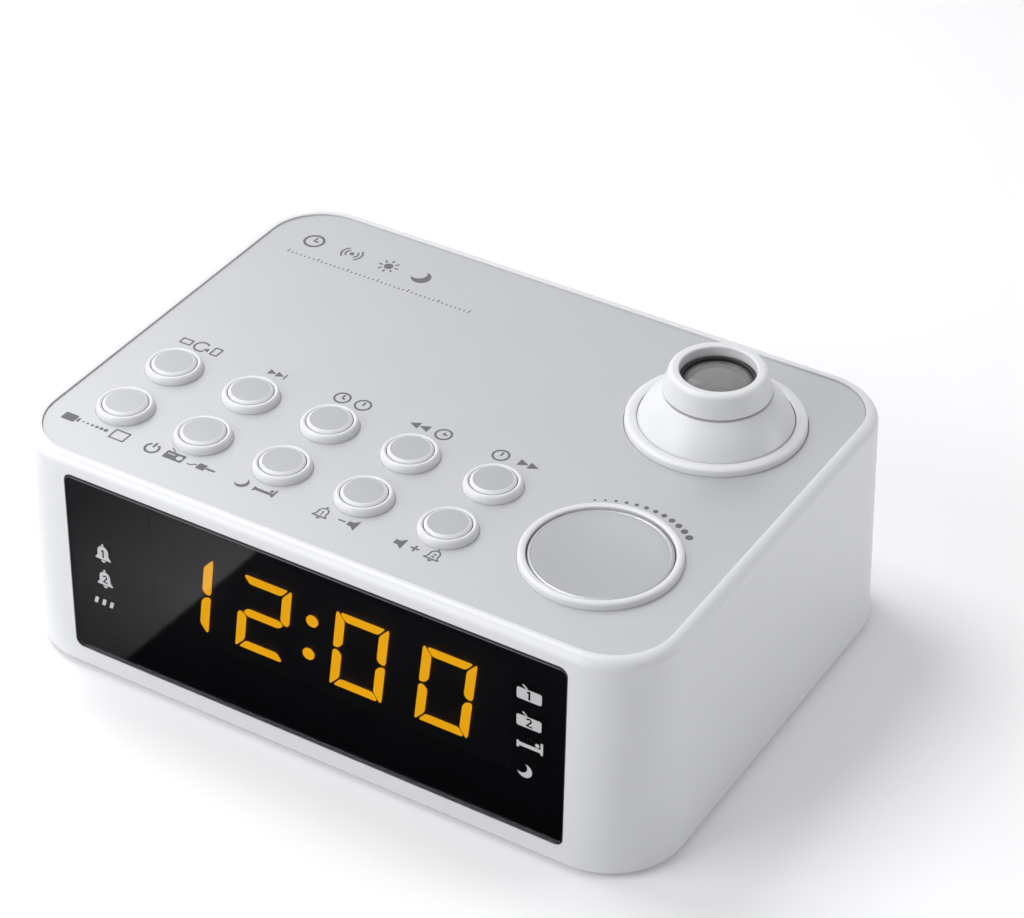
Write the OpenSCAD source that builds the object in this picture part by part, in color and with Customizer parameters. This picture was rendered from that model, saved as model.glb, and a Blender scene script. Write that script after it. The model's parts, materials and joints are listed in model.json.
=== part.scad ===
// Projection alarm clock: a table clock radio with a swivelling time projector.
// Millimetres. X runs to the right along the front, Y to the back, Z up from the table.
// The origin is on the table, under the middle of the cabinet.

/* [Cabinet] */
// Width of the silver plate set into the top
plate_w = 188; // [184:0.5:196]
// Depth of the silver plate
plate_d = 133.2; // [130:0.2:140]
// Corner radius of the silver plate, in plan
plate_r = 16; // [14:0.5:18]
// Width of the white rim around the plate
rim_w = 3.7; // [3.4:0.1:4.5]
// Height of the cabinet, from its lower edge to the plate's top face
cabinet_h = 67; // [66:0.5:72]
// Draft of the cabinet's walls, in degrees
draft = 1.64; // [1:0.02:2]
// Thickness of the cabinet's walls
wall = 3; // [2.6:0.1:3.2]
// Radius of the rounded top edge
edge_r = 3; // [2:0.1:3.4]
// Radius of the rounded lower edge
lower_edge_r = 1; // [0.6:0.1:1.5]
// Height that the rim stands above the plate
rim_rise = 0.5; // [0.3:0.1:0.8]
// Gap under the cabinet, held by the feet
foot_stand = 1.5; // [1.2:0.1:2.5]

/* [Display] */
// Width of the front window
window_w = 153.4; // [150:0.2:156]
// Height of the front window
window_h = 57; // [55:0.2:58]
// Corner radius of the front window
window_r = 2.5; // [1.5:0.1:4]
// Height of a digit
digit_h = 24.1; // [22:0.1:28]
// Width of a digit
digit_w = 15.8; // [13:0.1:17]
// Width of a digit's upright segments
stroke = 2.6; // [2:0.1:3.5]
// Height of a digit's level segments
bar_h = 2.3; // [1.8:0.1:3.2]
// Lean of the digits, in degrees
digit_lean = 6.3; // [0:0.1:10]

/* [Keys] */
// Distance between the columns of small keys
key_pitch_x = 25.4; // [24:0.1:26]
// Distance between the two rows of small keys
key_pitch_y = 21.7; // [21:0.1:23]
// Radius of a small key
key_r = 6.1; // [5.8:0.1:6.6]
// Travel of a small key
key_travel = 0.6; // [0.4:0.1:0.8]
// Radius of the big round key
snooze_r = 18.5; // [17:0.1:18.8]
// Travel of the big round key
snooze_travel = 0.8; // [0.5:0.1:1]

/* [Projector] */
// Radius of the projector's ball
ball_r = 22.65; // [22.5:0.05:22.7]
// Depth of the ball's centre below the plate's top face
ball_drop = 7.05; // [7:0.05:7.1]
// Height of the focus barrel's lip above the plate
barrel_top = 17.3; // [17:0.1:20]
// Outer radius of the focus barrel at its foot
barrel_foot_r = 14.55; // [14.3:0.05:14.6]
// Outer radius of the focus barrel near its lip
barrel_lip_r = 13.3; // [12.8:0.1:13.6]

/* [Hidden] */
$fn = 72;
over = 1;      // how far a cut runs past the face that it opens
seat = 0.3;    // gap around a part that drops into a recess
board_t = 1.6; // thickness of every circuit board
pilot_r = 1.1; // hole that a small self-tapping screw cuts its thread in
shank_r = 1.05;
shank_hole_r = 1.5;

// Levels above the table
plate_z = foot_stand + cabinet_h;
plate_t = 1.2;
rim_z = plate_z + rim_rise;
recess_z = plate_z - plate_t;
deck_t = 2.2;
deck_z = recess_z - deck_t;
base_z = foot_stand + 0.5;
base_t = 2.4;
base_top = base_z + base_t;

// The corner axes that the whole plan is rounded about
core_x = plate_w / 2 - plate_r;
core_y = plate_d / 2 - plate_r;

function wall_r(z) = plate_r + rim_w + tan(draft) * (plate_z - z);
function inner_r(z) = wall_r(z) - wall;
function rear_y(z) = core_y + wall_r(z);

// Front window, in a frame that leans with the front wall: x right, y into the cabinet, z up
window_z = foot_stand + 5.7 + window_h / 2;
window_t = 1.5;
window_sink = 0.3;
window_gap = 0.1; // around the pane
ledge = 2.2;
bezel_t = 1.6;
bezel_y = window_sink + window_t + 0.3;
digit_face_y = bezel_y + 0.4;
digit_block_t = 8;
display_board_y = digit_face_y + digit_block_t;
segment_t = 0.35;
seg_gap = 0.4;
seg_mid_gap = 0.55; // between an upright segment and the digit's middle line
digit_z = foot_stand + 27.15 - window_z;
digit_x = [-48.6, -24, 5.6, 31.6];
digit_block = [-50, 60, -12, 24.3];
colon_x = -0.8;
colon_step = 1.4; // how far right of the lower dot the upper one stands
colon_z = [33.65 + foot_stand - window_z, 44.75 + foot_stand - window_z];
colon_r = 1.75;
lamp_spots = [[-65.3, 6.8], [-65.3, -1.6], [-65.3, -10],
              [66, 16.3], [66, 7.8], [66, 0.1], [66, -8.5]];
indicator_r = 1.9;
display_board = [-74, 74, -22, 26];

// The first digit shows 1, the second 2, the others 0. A segment is named a to g as usual.
SHAPES = [[0, 1, 1, 0, 0, 0, 0], [1, 1, 0, 1, 1, 0, 1], [1, 1, 1, 1, 1, 1, 0], [1, 1, 1, 1, 1, 1, 0]];

// Keys
key_x = [for (i = [0:4]) -76.2 + i * key_pitch_x];
key_y = [-21.8, -21.8 - key_pitch_y];
key_top = plate_z + 2.55;
key_gap = 0.25;
key_edge = 0.6;
key_wall = 1.5;
key_flange_w = 1.4;
key_stem_r = 1.6;
collar_w = 1.65;
collar_gap = 0.15; // between a collar and the silver plate
key_collar_h = 2.05;
snooze_pos = [64, -33.1];
snooze_top = plate_z + 1.3;
snooze_gap = 0.4;
snooze_edge = 0.8;
snooze_wall = 2;
snooze_flange_w = 1.6;
snooze_stem_r = 2.2;
snooze_collar_w = 2.2;
snooze_collar_h = 1.9;
dish = 0.9;
flange_t = 1.2;
flange_low = deck_z - 0.3 - flange_t;
switch_top = 60.3;
switch_body = 3.5;
switch_w = 6;
plunger_r = 1.75;
plunger_h = 0.3;
key_board_top = switch_top - plunger_h - switch_body;
key_board = [-81.5, 79, -56, -8];
stem_play = 0.15;
key_posts = [[-63.5, -32.8], [-12.7, -32.8], [40, -13], [40, -53]];

// Projector
ball_pos = [60.7, 33.1];
ball_z = plate_z - ball_drop;
bore_top_r = ball_r - 0.75;
bore_low_r = ball_r + 0.05;
projector_collar_w = 2.5;
projector_collar_h = 2.07;
carrier_in = ball_r + 0.45;
carrier_out = 27.5;
carrier_top = deck_z - 0.3;
carrier_low = 58;
running = 0.06;
boss_out = 30;
boss_low = 57.9;
retainer_t = 1.8;
retainer_screw_r = 31.2;
retainer_ear_r = 3.4;
retainer_post_r = 2.6;
retainer_screw_a = [135, 225, 315];
washer_t = 0.2;
retainer_z = boss_low - retainer_t;
lug_w = 5;
lug_out = 29;
lug_stop_a = 6.5;
pin_r = 1.5;
pin_in = 16.6;
pin_boss_r = 3;
ball_wall = 1.8;
ball_low = ball_z - 5.45;
ball_cut = plate_z + 10.2;
neck_in = 9.96;
neck_out = 11.6;
neck_top = plate_z + 12.5;
neck_low = 70;
groove_z = plate_z + 11.2;
barrel_low = plate_z + 10.6;
barrel_z = plate_z + barrel_top;
lip_in = 10.3;
cell_r = 9.9;
cell_z = [75.8, 83];
cell_in = 8.4;
lens_r = 9.2;
lens_drop = 2; // from the cell's top to the seat of its lens
tube_low = 44;
tube_out = 10.9;
tube_in = 9;

// Base, battery bay, speaker
screw_posts = [[86, 58.5], [-86, 58.5], [-86, -58.5], [86, -58.5]];
post_r = 3.5;
board_post_r = 3;
feet = [[74, 50], [-74, 50], [-74, -50], [74, -50]];
foot_r = 6;
foot_h = 2.5;
bay = [10, 62, 8, 34];
bay_wall = 1.6;
bay_h = 13;
bay_mid_x = (bay[0] + bay[1]) / 2;
bay_mid_y = (bay[2] + bay[3]) / 2;
cell_len = 44.5;
cell_body_r = 5.25;
door_w = bay[1] - bay[0] + 3;
door_d = bay[3] - bay[2] + 3;
door_t = 1.4;
door_travel = 8;
speaker_pos = [-48, 22];
speaker_r = 28.5;
grille_r = 23;
speaker_post_a = [45, 135, 225, 315];
speaker_post_c = speaker_r + 3.7;
main_board_z = 14;
main_top = main_board_z + board_t;
main_board = [-80, 84, -50, -6];
main_posts = [[-74, -44], [-74, -12], [78, -44], [78, -12]];
ribbon = [-20, 6, -9];
ribbon_plug = 6;
jack_board = [-22, 8, 47, 66];
jack_posts = [[-17, 51], [3, 51]];
jack_z = 21;
mouth_y = rear_y(jack_z) - 1;
inlet_x = -15;
inlet_r = 5.2;
audio_x = 1;
audio_r = 3.4;
antenna = [-70, 24];
grommet_r = 3.4;
rod = [-80, -6, 58, 52];
rod_r = 4;

// ---------------------------------------------------------------- shared shapes

// Sweeps an outline (distance from the corner axis, height) round the rounded plan.
module around_plan() {
    for (sx = [0, 1], sy = [0, 1]) {
        mirror([sx, 0, 0])
            mirror([0, sy, 0])
                translate([core_x, core_y, 0])
                    rotate_extrude(angle = 90)
                        children();
    }
    for (sx = [0, 1]) {
        mirror([sx, 0, 0])
            translate([core_x, core_y, 0])
                rotate([90, 0, 0])
                    linear_extrude(2 * core_y)
                        children();
    }
    for (sy = [0, 1]) {
        mirror([0, sy, 0])
            translate([-core_x, core_y, 0])
                rotate([90, 0, 90])
                    linear_extrude(2 * core_x)
                        children();
    }
}

// The same sweep, filled in the middle from z0 to z1.
module plan_solid(z0, z1) {
    around_plan() children();
    translate([-core_x, -core_y, z0])
        cube([2 * core_x, 2 * core_y, z1 - z0]);
}

// A flat plate whose plan is a rectangle with round corners, centred.
module round_plate(w, d, h, r) {
    linear_extrude(h) {
        square([w - 2 * r, d], center = true);
        square([w, d - 2 * r], center = true);
        for (x = [-1, 1], y = [-1, 1]) {
            translate([x * (w / 2 - r), y * (d / 2 - r)])
                circle(r);
        }
    }
}

// A box given by its limits in plan and its levels.
module slab(x0, x1, y0, y1, z0, z1) {
    translate([x0, y0, z0])
        cube([x1 - x0, y1 - y0, z1 - z0]);
}

// A ring between two radii.
module tube(r_in, r_out, z0, z1) {
    rotate_extrude()
        translate([r_in, z0])
            square([r_out - r_in, z1 - z0]);
}

// A raised collar with a round crest. It grows out of the deck around a hole.
module collar(r_in, w, h) {
    crest = plate_z + h - w / 2;
    rotate_extrude() {
        translate([r_in, deck_z])
            square([w, crest - deck_z]);
        translate([r_in + w / 2, crest])
            circle(w / 2);
    }
}

// A pan-head screw that points up, with its head's underside at z = 0.
module pan_screw(head_r, head_h, shank_r, len) {
    difference() {
        translate([0, 0, -head_h])
            cylinder(r = head_r, h = head_h);
        for (a = [0, 90]) {
            rotate([0, 0, a])
                translate([-head_r * 0.6, -0.35, -head_h - over])
                    cube([head_r * 1.2, 0.7, over + head_h * 0.55]);
        }
    }
    cylinder(r = shank_r, h = len);
}

module at_keys() {
    for (y = key_y, x = key_x) {
        translate([x, y, 0])
            children();
    }
}

module at_snooze() {
    translate([snooze_pos[0], snooze_pos[1], 0])
        children();
}

module at_ball() {
    translate([ball_pos[0], ball_pos[1], 0])
        children();
}

module at_each(places) {
    for (p = places) {
        translate([p[0], p[1], 0])
            children();
    }
}

// Into the frame of the leaning front wall.
module on_front() {
    translate([0, -rear_y(window_z), window_z])
        rotate([-draft, 0, 0])
            children();
}

// A panel that lies in the front wall's frame, from depth y0 to y1.
module front_panel(w, h, r, y0, y1) {
    translate([0, y1, 0])
        rotate([90, 0, 0])
            round_plate(w, h, y1 - y0, r);
}

// ---------------------------------------------------------------- cabinet

module cabinet_outline() {
    top_z = rim_z - edge_r;
    top_x = wall_r(top_z) - edge_r / cos(draft);
    low_z = foot_stand + lower_edge_r;
    low_x = wall_r(low_z) - lower_edge_r / cos(draft);
    polygon([
        [0, foot_stand],
        [low_x, foot_stand],
        [low_x, low_z],
        [low_x + lower_edge_r * cos(draft), low_z + lower_edge_r * sin(draft)],
        [top_x + edge_r * cos(draft), top_z + edge_r * sin(draft)],
        [top_x, top_z],
        [top_x, rim_z],
        [0, rim_z],
    ]);
    translate([low_x, low_z])
        circle(lower_edge_r);
    translate([top_x, top_z])
        circle(edge_r);
}

module cavity_outline() {
    low = foot_stand - over;
    polygon([[0, low], [inner_r(low), low], [inner_r(deck_z), deck_z], [0, deck_z]]);
}

// Ring wall under the deck in which the swivel carrier turns. Its foot is cut away
// over half a turn, so that the carrier's lug has two stops.
module swivel_boss() {
    difference() {
        union() {
            tube(carrier_out + running, boss_out, boss_low, deck_z + over);
            for (a = retainer_screw_a) {
                rotate([0, 0, a])
                    translate([retainer_screw_r, 0, boss_low])
                        cylinder(r = retainer_post_r, h = deck_z - boss_low + over);
            }
        }
        for (a = retainer_screw_a) {
            rotate([0, 0, a])
                translate([retainer_screw_r, 0, boss_low - over])
                    cylinder(r = pilot_r, h = 6 + over);
        }
        rotate([0, 0, -lug_stop_a])
            rotate_extrude(angle = 180 + 2 * lug_stop_a)
                translate([carrier_out - over, boss_low - over])
                    square([lug_out - carrier_out + over + 0.3, over + 2.2]);
        cylinder(r = carrier_out + running, h = deck_z);
    }
}

// The ball's opening: it narrows upwards with the ball, then runs straight through the collar.
module projector_bore() {
    rotate_extrude()
        polygon([
            [0, deck_z - 0.01],
            [bore_low_r, deck_z - 0.01],
            [bore_top_r, plate_z],
            [bore_top_r, rim_z + 5],
            [0, rim_z + 5],
        ]);
}

// A post for a screw that comes up from below.
module screw_post(r, z0, z1, hole_r, hole_depth) {
    difference() {
        translate([0, 0, z0])
            cylinder(r = r, h = z1 - z0);
        translate([0, 0, z0 - over])
            cylinder(r = hole_r, h = hole_depth + over);
    }
}

module rear_hole(x, z, r) {
    translate([x, rear_y(z) + over, z])
        rotate([90, 0, 0])
            cylinder(r = r, h = wall + 2 * over);
}

module cabinet() {
    color("white")
    difference() {
        union() {
            difference() {
                plan_solid(foot_stand, rim_z) cabinet_outline();
                plan_solid(foot_stand - over, deck_z) cavity_outline();
                translate([0, 0, recess_z])
                    round_plate(plate_w + 2 * seat, plate_d + 2 * seat, plate_t + rim_rise + over,
                                plate_r + seat);
            }
            at_keys() collar(key_r + key_gap, collar_w, key_collar_h);
            at_snooze() collar(snooze_r + snooze_gap, snooze_collar_w, snooze_collar_h);
            at_ball() collar(bore_top_r, projector_collar_w, projector_collar_h);
            at_ball() swivel_boss();
            at_each(screw_posts) screw_post(post_r, base_top, deck_z + over, 1.3, 12);
            at_each(key_posts) screw_post(board_post_r, key_board_top, deck_z + over, pilot_r, 7);
        }
        at_keys()
            translate([0, 0, deck_z - over])
                cylinder(r = key_r + key_gap, h = deck_t + plate_t + 4);
        at_snooze()
            translate([0, 0, deck_z - over])
                cylinder(r = snooze_r + snooze_gap, h = deck_t + plate_t + 4);
        at_ball() projector_bore();
        on_front() {
            front_panel(window_w, window_h, window_r, -over, window_sink + window_t + 0.05);
            front_panel(window_w - 2 * ledge, window_h - 2 * ledge, window_r - 1, 0, wall + 2);
        }
        rear_hole(inlet_x, jack_z, inlet_r + 0.4);
        rear_hole(audio_x, jack_z, audio_r + 0.4);
        rear_hole(antenna[0], antenna[1], grommet_r + 0.1);
    }
}

module top_plate() {
    color("silver")
    difference() {
        translate([0, 0, recess_z])
            round_plate(plate_w, plate_d, plate_t, plate_r);
        translate([0, 0, recess_z - over]) {
            at_keys() cylinder(r = key_r + key_gap + collar_w + collar_gap, h = plate_t + 2 * over);
            at_snooze()
                cylinder(r = snooze_r + snooze_gap + snooze_collar_w + collar_gap,
                         h = plate_t + 2 * over);
            at_ball()
                cylinder(r = bore_top_r + projector_collar_w + collar_gap, h = plate_t + 2 * over);
        }
    }
}

// ---------------------------------------------------------------- display

module display_window() {
    color([0.05, 0.05, 0.06])
        on_front()
            front_panel(window_w - 2 * window_gap, window_h - 2 * window_gap,
                        window_r - window_gap, window_sink, window_sink + window_t);
}

// Black baffle that fills the opening behind the window.
module display_bezel() {
    color([0.08, 0.08, 0.08])
    on_front() {
        difference() {
            front_panel(window_w - 2 * ledge - 0.6, window_h - 2 * ledge - 0.6, window_r - 1.3,
                        bezel_y, bezel_y + bezel_t);
            slab(digit_block[0] - 0.2, digit_block[1] + 0.2, bezel_y - over, bezel_y + bezel_t + over,
                 digit_block[2] - 0.2, digit_block[3] + 0.2);
            for (p = lamp_spots) {
                translate([p[0], bezel_y - over, p[1]])
                    rotate([-90, 0, 0])
                        cylinder(r = indicator_r + 0.2, h = bezel_t + 2 * over);
            }
        }
    }
}

module digit_block() {
    color([0.1, 0.1, 0.1])
        on_front()
            slab(digit_block[0], digit_block[1], digit_face_y, digit_face_y + digit_block_t,
                 digit_block[2], digit_block[3]);
}

// Leans a point of a digit to the right, the more the higher it is.
function lean(p) = [p[0] + p[1] * tan(digit_lean), p[1]];

// Outlines of the seven segments, a to g, in an upright digit whose lower left corner is 0, 0.
// The upright ones fill the digit's corners up to n from its side, and are cut back by c
// where they meet the middle one.
function segment_outline(k) =
    let (w = digit_w, h = digit_h, s = stroke, b = bar_h, e = seg_gap, m = digit_h / 2,
         f = seg_mid_gap, c = stroke * 0.45, n = stroke * 0.3)
    k == 0 ? [[n + e, h], [w - n - e, h], [w - s - e, h - b], [s + e, h - b]] :
    k == 1 ? [[w, h], [w, m + f], [w - s + c, m + f], [w - s, m + c + f],
              [w - s, h - b - e], [w - n + e, h]] :
    k == 2 ? [[w, 0], [w, m - f], [w - s + c, m - f], [w - s, m - c - f],
              [w - s, b + e], [w - n + e, 0]] :
    k == 3 ? [[n + e, 0], [w - n - e, 0], [w - s - e, b], [s + e, b]] :
    k == 4 ? [[0, 0], [0, m - f], [s - c, m - f], [s, m - c - f], [s, b + e], [n - e, 0]] :
    k == 5 ? [[0, h], [0, m + f], [s - c, m + f], [s, m + c + f], [s, h - b - e], [n - e, h]] :
    [[s / 2 + e, m], [s + e, m + b / 2], [w - s - e, m + b / 2],
     [w - s / 2 - e, m], [w - s - e, m - b / 2], [s + e, m - b / 2]];

// The segments that are lit (1) or dark (0).
module segments(state) {
    on_front()
        translate([0, digit_face_y, digit_z])
            rotate([90, 0, 0]) {
                for (d = [0:3], k = [0:6]) {
                    if (SHAPES[d][k] == state) {
                        translate([digit_x[d], 0, 0])
                            linear_extrude(segment_t)
                                polygon([for (p = segment_outline(k)) lean(p)]);
                    }
                }
            }
}

module lit_segments() {
    color("orange") {
        segments(1);
        on_front() {
            for (i = [0, 1]) {
                translate([colon_x + i * colon_step, digit_face_y, colon_z[i]])
                    rotate([90, 0, 0])
                        cylinder(r = colon_r, h = segment_t);
            }
        }
    }
}

module unlit_segments() {
    color([0.15, 0.13, 0.12])
        segments(0);
}

module display_board() {
    color("darkgreen")
        on_front()
            slab(display_board[0], display_board[1], display_board_y, display_board_y + board_t,
                 display_board[2], display_board[3]);
}

module indicator_lamps() {
    color("lightgray")
    on_front() {
        for (p = lamp_spots) {
            translate([p[0], digit_face_y, p[1]])
                rotate([-90, 0, 0]) {
                    cylinder(r = indicator_r, h = digit_block_t);
                    translate([0, 0, digit_block_t - 1])
                        cylinder(r = indicator_r + 0.4, h = 1);
                }
        }
    }
}

// ---------------------------------------------------------------- keys

// A small key at its place: a cap in its collar, a flange under the deck and a stem over its switch.
module small_key(column, row) {
    stem_low = switch_top + key_travel + stem_play;
    translate([key_x[column], key_y[row], 0])
        color("silver")
            rotate_extrude() {
                difference() {
                    union() {
                        translate([0, flange_low])
                            square([key_r, key_top - key_edge - flange_low]);
                        translate([0, key_top - key_wall])
                            square([key_r - key_edge, key_wall]);
                        translate([key_r - key_edge, key_top - key_edge])
                            circle(key_edge);
                        translate([0, flange_low])
                            square([key_r + key_flange_w, flange_t]);
                    }
                    translate([0, flange_low - over])
                        square([key_r - key_wall, key_top - key_wall - flange_low + over]);
                }
                translate([0, stem_low])
                    square([key_stem_r, key_top - key_wall / 2 - stem_low]);
            }
}

module rotate_key() { small_key(0, 0); }
module memory_key() { small_key(1, 0); }
module clock_set_key() { small_key(2, 0); }
module hour_key() { small_key(3, 0); }
module minute_key() { small_key(4, 0); }
module projection_key() { small_key(0, 1); }
module power_key() { small_key(1, 1); }
module sleep_key() { small_key(2, 1); }
module volume_down_key() { small_key(3, 1); }
module volume_up_key() { small_key(4, 1); }

module snooze_key() {
    stem_low = switch_top + snooze_travel + stem_play;
    dish_r = snooze_r - 1;
    dish_ball = (dish_r * dish_r + dish * dish) / (2 * dish);
    color("silver")
    at_snooze()
        rotate_extrude() {
            difference() {
                union() {
                    translate([0, flange_low])
                        square([snooze_r, snooze_top - snooze_edge - flange_low]);
                    translate([0, snooze_top - 2 * snooze_edge])
                        square([snooze_r - snooze_edge, 2 * snooze_edge]);
                    translate([snooze_r - snooze_edge, snooze_top - snooze_edge])
                        circle(snooze_edge);
                    translate([0, flange_low])
                        square([snooze_r + snooze_flange_w, flange_t]);
                }
                translate([0, flange_low - over])
                    square([snooze_r - snooze_wall,
                            snooze_top - dish - snooze_wall - flange_low + over]);
                intersection() {
                    translate([0, snooze_top + dish_ball - dish])
                        circle(dish_ball, $fn = 720);
                    translate([0, snooze_top - 2 * dish])
                        square([dish_r, 3 * dish]);
                }
            }
            translate([0, stem_low])
                square([snooze_stem_r, snooze_top - dish - snooze_wall / 2 - stem_low]);
        }
}

module key_board() {
    color("darkgreen")
    difference() {
        slab(key_board[0], key_board[1], key_board[2], key_board[3],
             key_board_top - board_t, key_board_top);
        at_each(key_posts)
            translate([0, 0, key_board_top - board_t - over])
                cylinder(r = shank_hole_r, h = board_t + 2 * over);
    }
}

module tact_switch() {
    translate([-switch_w / 2, -switch_w / 2, key_board_top])
        cube([switch_w, switch_w, switch_body]);
    translate([0, 0, key_board_top + switch_body - over])
        cylinder(r = plunger_r, h = over + plunger_h);
}

module tact_switches() {
    color("dimgray") {
        at_keys() tact_switch();
        at_snooze() tact_switch();
    }
}

// ---------------------------------------------------------------- base and battery bay

// Oblong sound slot with round ends, centred, along Y.
module sound_slot(len) {
    slab(-1, 1, -len / 2, len / 2, base_z - over, base_top + over);
    for (s = [-1, 1]) {
        translate([0, s * len / 2, base_z - over])
            cylinder(r = 1, h = base_t + 2 * over);
    }
}

module base_cover() {
    r = inner_r(base_top) - seat;
    color("gainsboro")
    difference() {
        union() {
            translate([0, 0, base_z])
                round_plate(2 * (core_x + r), 2 * (core_y + r), base_t, r);
            slab(bay[0] - bay_wall, bay[1] + bay_wall, bay[2] - bay_wall, bay[3] + bay_wall,
                 base_z, base_top + bay_h);
            at_each(concat(main_posts, jack_posts))
                translate([0, 0, base_top - over])
                    cylinder(r = board_post_r, h = main_board_z - base_top + over);
            translate([speaker_pos[0], speaker_pos[1], 0]) speaker_posts();
        }
        slab(bay[0], bay[1], bay[2], bay[3], base_z - over, base_top + bay_h - bay_wall);
        slab(bay_mid_x - door_w / 2 - seat, bay_mid_x + door_w / 2 + seat + door_travel,
             bay_mid_y - door_d / 2 - seat, bay_mid_y + door_d / 2 + seat,
             base_z - over, base_z + door_t + 0.4);
        translate([speaker_pos[0], speaker_pos[1], 0]) {
            for (i = [-4:4]) {
                translate([i * 5, 0, 0])
                    sound_slot(2 * sqrt(grille_r * grille_r - 25 * i * i));
            }
            speaker_post_holes();
        }
        at_each(feet)
            translate([0, 0, base_z - over])
                cylinder(r = foot_r + 0.1, h = over + 1);
        at_each(screw_posts) {
            translate([0, 0, base_z - over])
                cylinder(r = 3.3, h = over + 1.4);
            translate([0, 0, base_z])
                cylinder(r = 1.7, h = base_t + over);
        }
        at_each(concat(main_posts, jack_posts))
            translate([0, 0, main_board_z - 6])
                cylinder(r = pilot_r, h = 6 + over);
    }
}

module speaker_posts() {
    for (a = speaker_post_a) {
        rotate([0, 0, a])
            translate([speaker_post_c, 0, base_top - over])
                cylinder(r = board_post_r, h = over + 1.2);
    }
}

module speaker_post_holes() {
    for (a = speaker_post_a) {
        rotate([0, 0, a])
            translate([speaker_post_c, 0, base_z + 0.6])
                cylinder(r = pilot_r, h = base_t + 2);
    }
}

module battery_door() {
    color("gainsboro")
        translate([bay_mid_x, bay_mid_y, base_z + 0.1])
            difference() {
                round_plate(door_w, door_d, door_t, 1.5);
                for (i = [-2:2]) {
                    translate([door_w / 2 - 12 + i * 1.6, -6, -over])
                        cube([0.7, 12, over + 0.5]);
                }
            }
}

module backup_cells() {
    color("steelblue") {
        for (i = [-1, 1]) {
            translate([bay_mid_x - cell_len / 2, bay_mid_y + i * 6, base_top + 6])
                rotate([0, 90, 0]) {
                    cylinder(r = cell_body_r, h = cell_len - 1);
                    cylinder(r = 1.9, h = cell_len);
                }
        }
    }
}

// At each end of the bay a plate, and a coil spring drawn as its closed outer form.
module cell_contacts() {
    color("lightgray") {
        for (i = [-1, 1]) {
            slab(bay[0], bay[0] + 0.4, bay_mid_y + i * 6 - 4, bay_mid_y + i * 6 + 4, 5, 15.6);
            translate([bay[0] + 0.4, bay_mid_y + i * 6, base_top + 6])
                rotate([0, 90, 0])
                    cylinder(r = 3, h = (bay[1] - bay[0] - cell_len) / 2 - 0.4);
            slab(bay[1] - 0.4, bay[1], bay_mid_y + i * 6 - 4, bay_mid_y + i * 6 + 4, 5, 15.6);
            slab(bay_mid_x + cell_len / 2, bay[1] - 0.4,
                 bay_mid_y + i * 6 - 1.5, bay_mid_y + i * 6 + 1.5, 9, 12);
        }
    }
}

module rubber_feet() {
    color([0.2, 0.2, 0.2])
        at_each(feet) {
            cylinder(r1 = foot_r - 0.6, r2 = foot_r, h = 0.6);
            translate([0, 0, 0.6])
                cylinder(r = foot_r, h = foot_h - 0.1);
        }
}

module case_screws() {
    color("gray")
        at_each(screw_posts)
            translate([0, 0, base_z + 1.4])
                pan_screw(2.9, 1.3, 1.25, 12);
}

// ---------------------------------------------------------------- electronics

module main_board() {
    color("darkgreen")
    difference() {
        slab(main_board[0], main_board[1], main_board[2], main_board[3],
             main_board_z, main_board_z + board_t);
        at_each(main_posts)
            translate([0, 0, main_board_z - over])
                cylinder(r = shank_hole_r, h = board_t + 2 * over);
    }
}

module chips() {
    color([0.12, 0.12, 0.13]) {
        slab(-40, -26, -42, -28, main_top, main_top + 1.6);
        slab(0, 10, -44, -38, main_top, main_top + 1.5);
        slab(44, 50, -24, -20, main_top, main_top + 1.5);
        slab(60, 70, -34, -26, main_top, main_top + 3);
    }
}

module capacitors() {
    places = [[-62, -20, 4, 12], [-52, -20, 4, 12], [-62, -36, 3, 8], [24, -42, 5, 16],
              [36, -42, 5, 16], [54, -42, 3, 8], [20, -14, 2.5, 7], [66, -16, 2.5, 7]];
    color([0.1, 0.12, 0.25]) {
        for (p = places) {
            translate([p[0], p[1], main_top])
                cylinder(r = p[2], h = p[3]);
        }
    }
}

module tuner_can() {
    color("lightgray")
        difference() {
            slab(-20, 4, -30, -14, main_top, main_top + 8);
            slab(-19.5, 3.5, -29.5, -14.5, main_top - over, main_top + 7.5);
        }
}

module board_connectors() {
    color("ivory") {
        translate([ribbon[0] - 1.5, ribbon[2] - 2.5, main_top])
            cube([ribbon[1] - ribbon[0] + 3, 4.9, ribbon_plug]);
        translate([ribbon[0] - 1.5, ribbon[2] - 2.5, key_board_top - board_t - ribbon_plug])
            cube([ribbon[1] - ribbon[0] + 3, 4.9, ribbon_plug]);
    }
}

// Flat lead between the two connectors, bowed forwards.
module ribbon_cable() {
    z0 = main_top + ribbon_plug;
    z1 = key_board_top - board_t - ribbon_plug;
    bow = 30;
    thick = 0.8;
    half = (z1 - z0) / 2 * bow / (bow + thick / 2);
    a = asin(half / bow);
    color("lightgray")
        translate([ribbon[0], ribbon[2] + bow * cos(a), (z0 + z1) / 2])
            rotate([90, 0, 90])
                rotate([0, 0, 180 - a])
                    rotate_extrude(angle = 2 * a)
                        translate([bow - thick / 2, 0])
                            square([thick, ribbon[1] - ribbon[0]]);
}

module jack_board() {
    color("darkgreen")
    difference() {
        slab(jack_board[0], jack_board[1], jack_board[2], jack_board[3],
             main_board_z, main_board_z + board_t);
        at_each(jack_posts)
            translate([0, 0, main_board_z - over])
                cylinder(r = shank_hole_r, h = board_t + 2 * over);
    }
}

module power_inlet() {
    color([0.1, 0.1, 0.1])
    translate([inlet_x, mouth_y, jack_z])
        rotate([90, 0, 0]) {
            difference() {
                union() {
                    cylinder(r = inlet_r, h = 6);
                    translate([-inlet_r, -jack_z + main_top, 4])
                        cube([2 * inlet_r, jack_z - main_top + inlet_r, 9]);
                }
                translate([0, 0, -over])
                    cylinder(r = 2.8, h = 10 + over);
            }
            translate([0, 0, 1.2])
                cylinder(r = 1.05, h = 9.8);
        }
}

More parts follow.
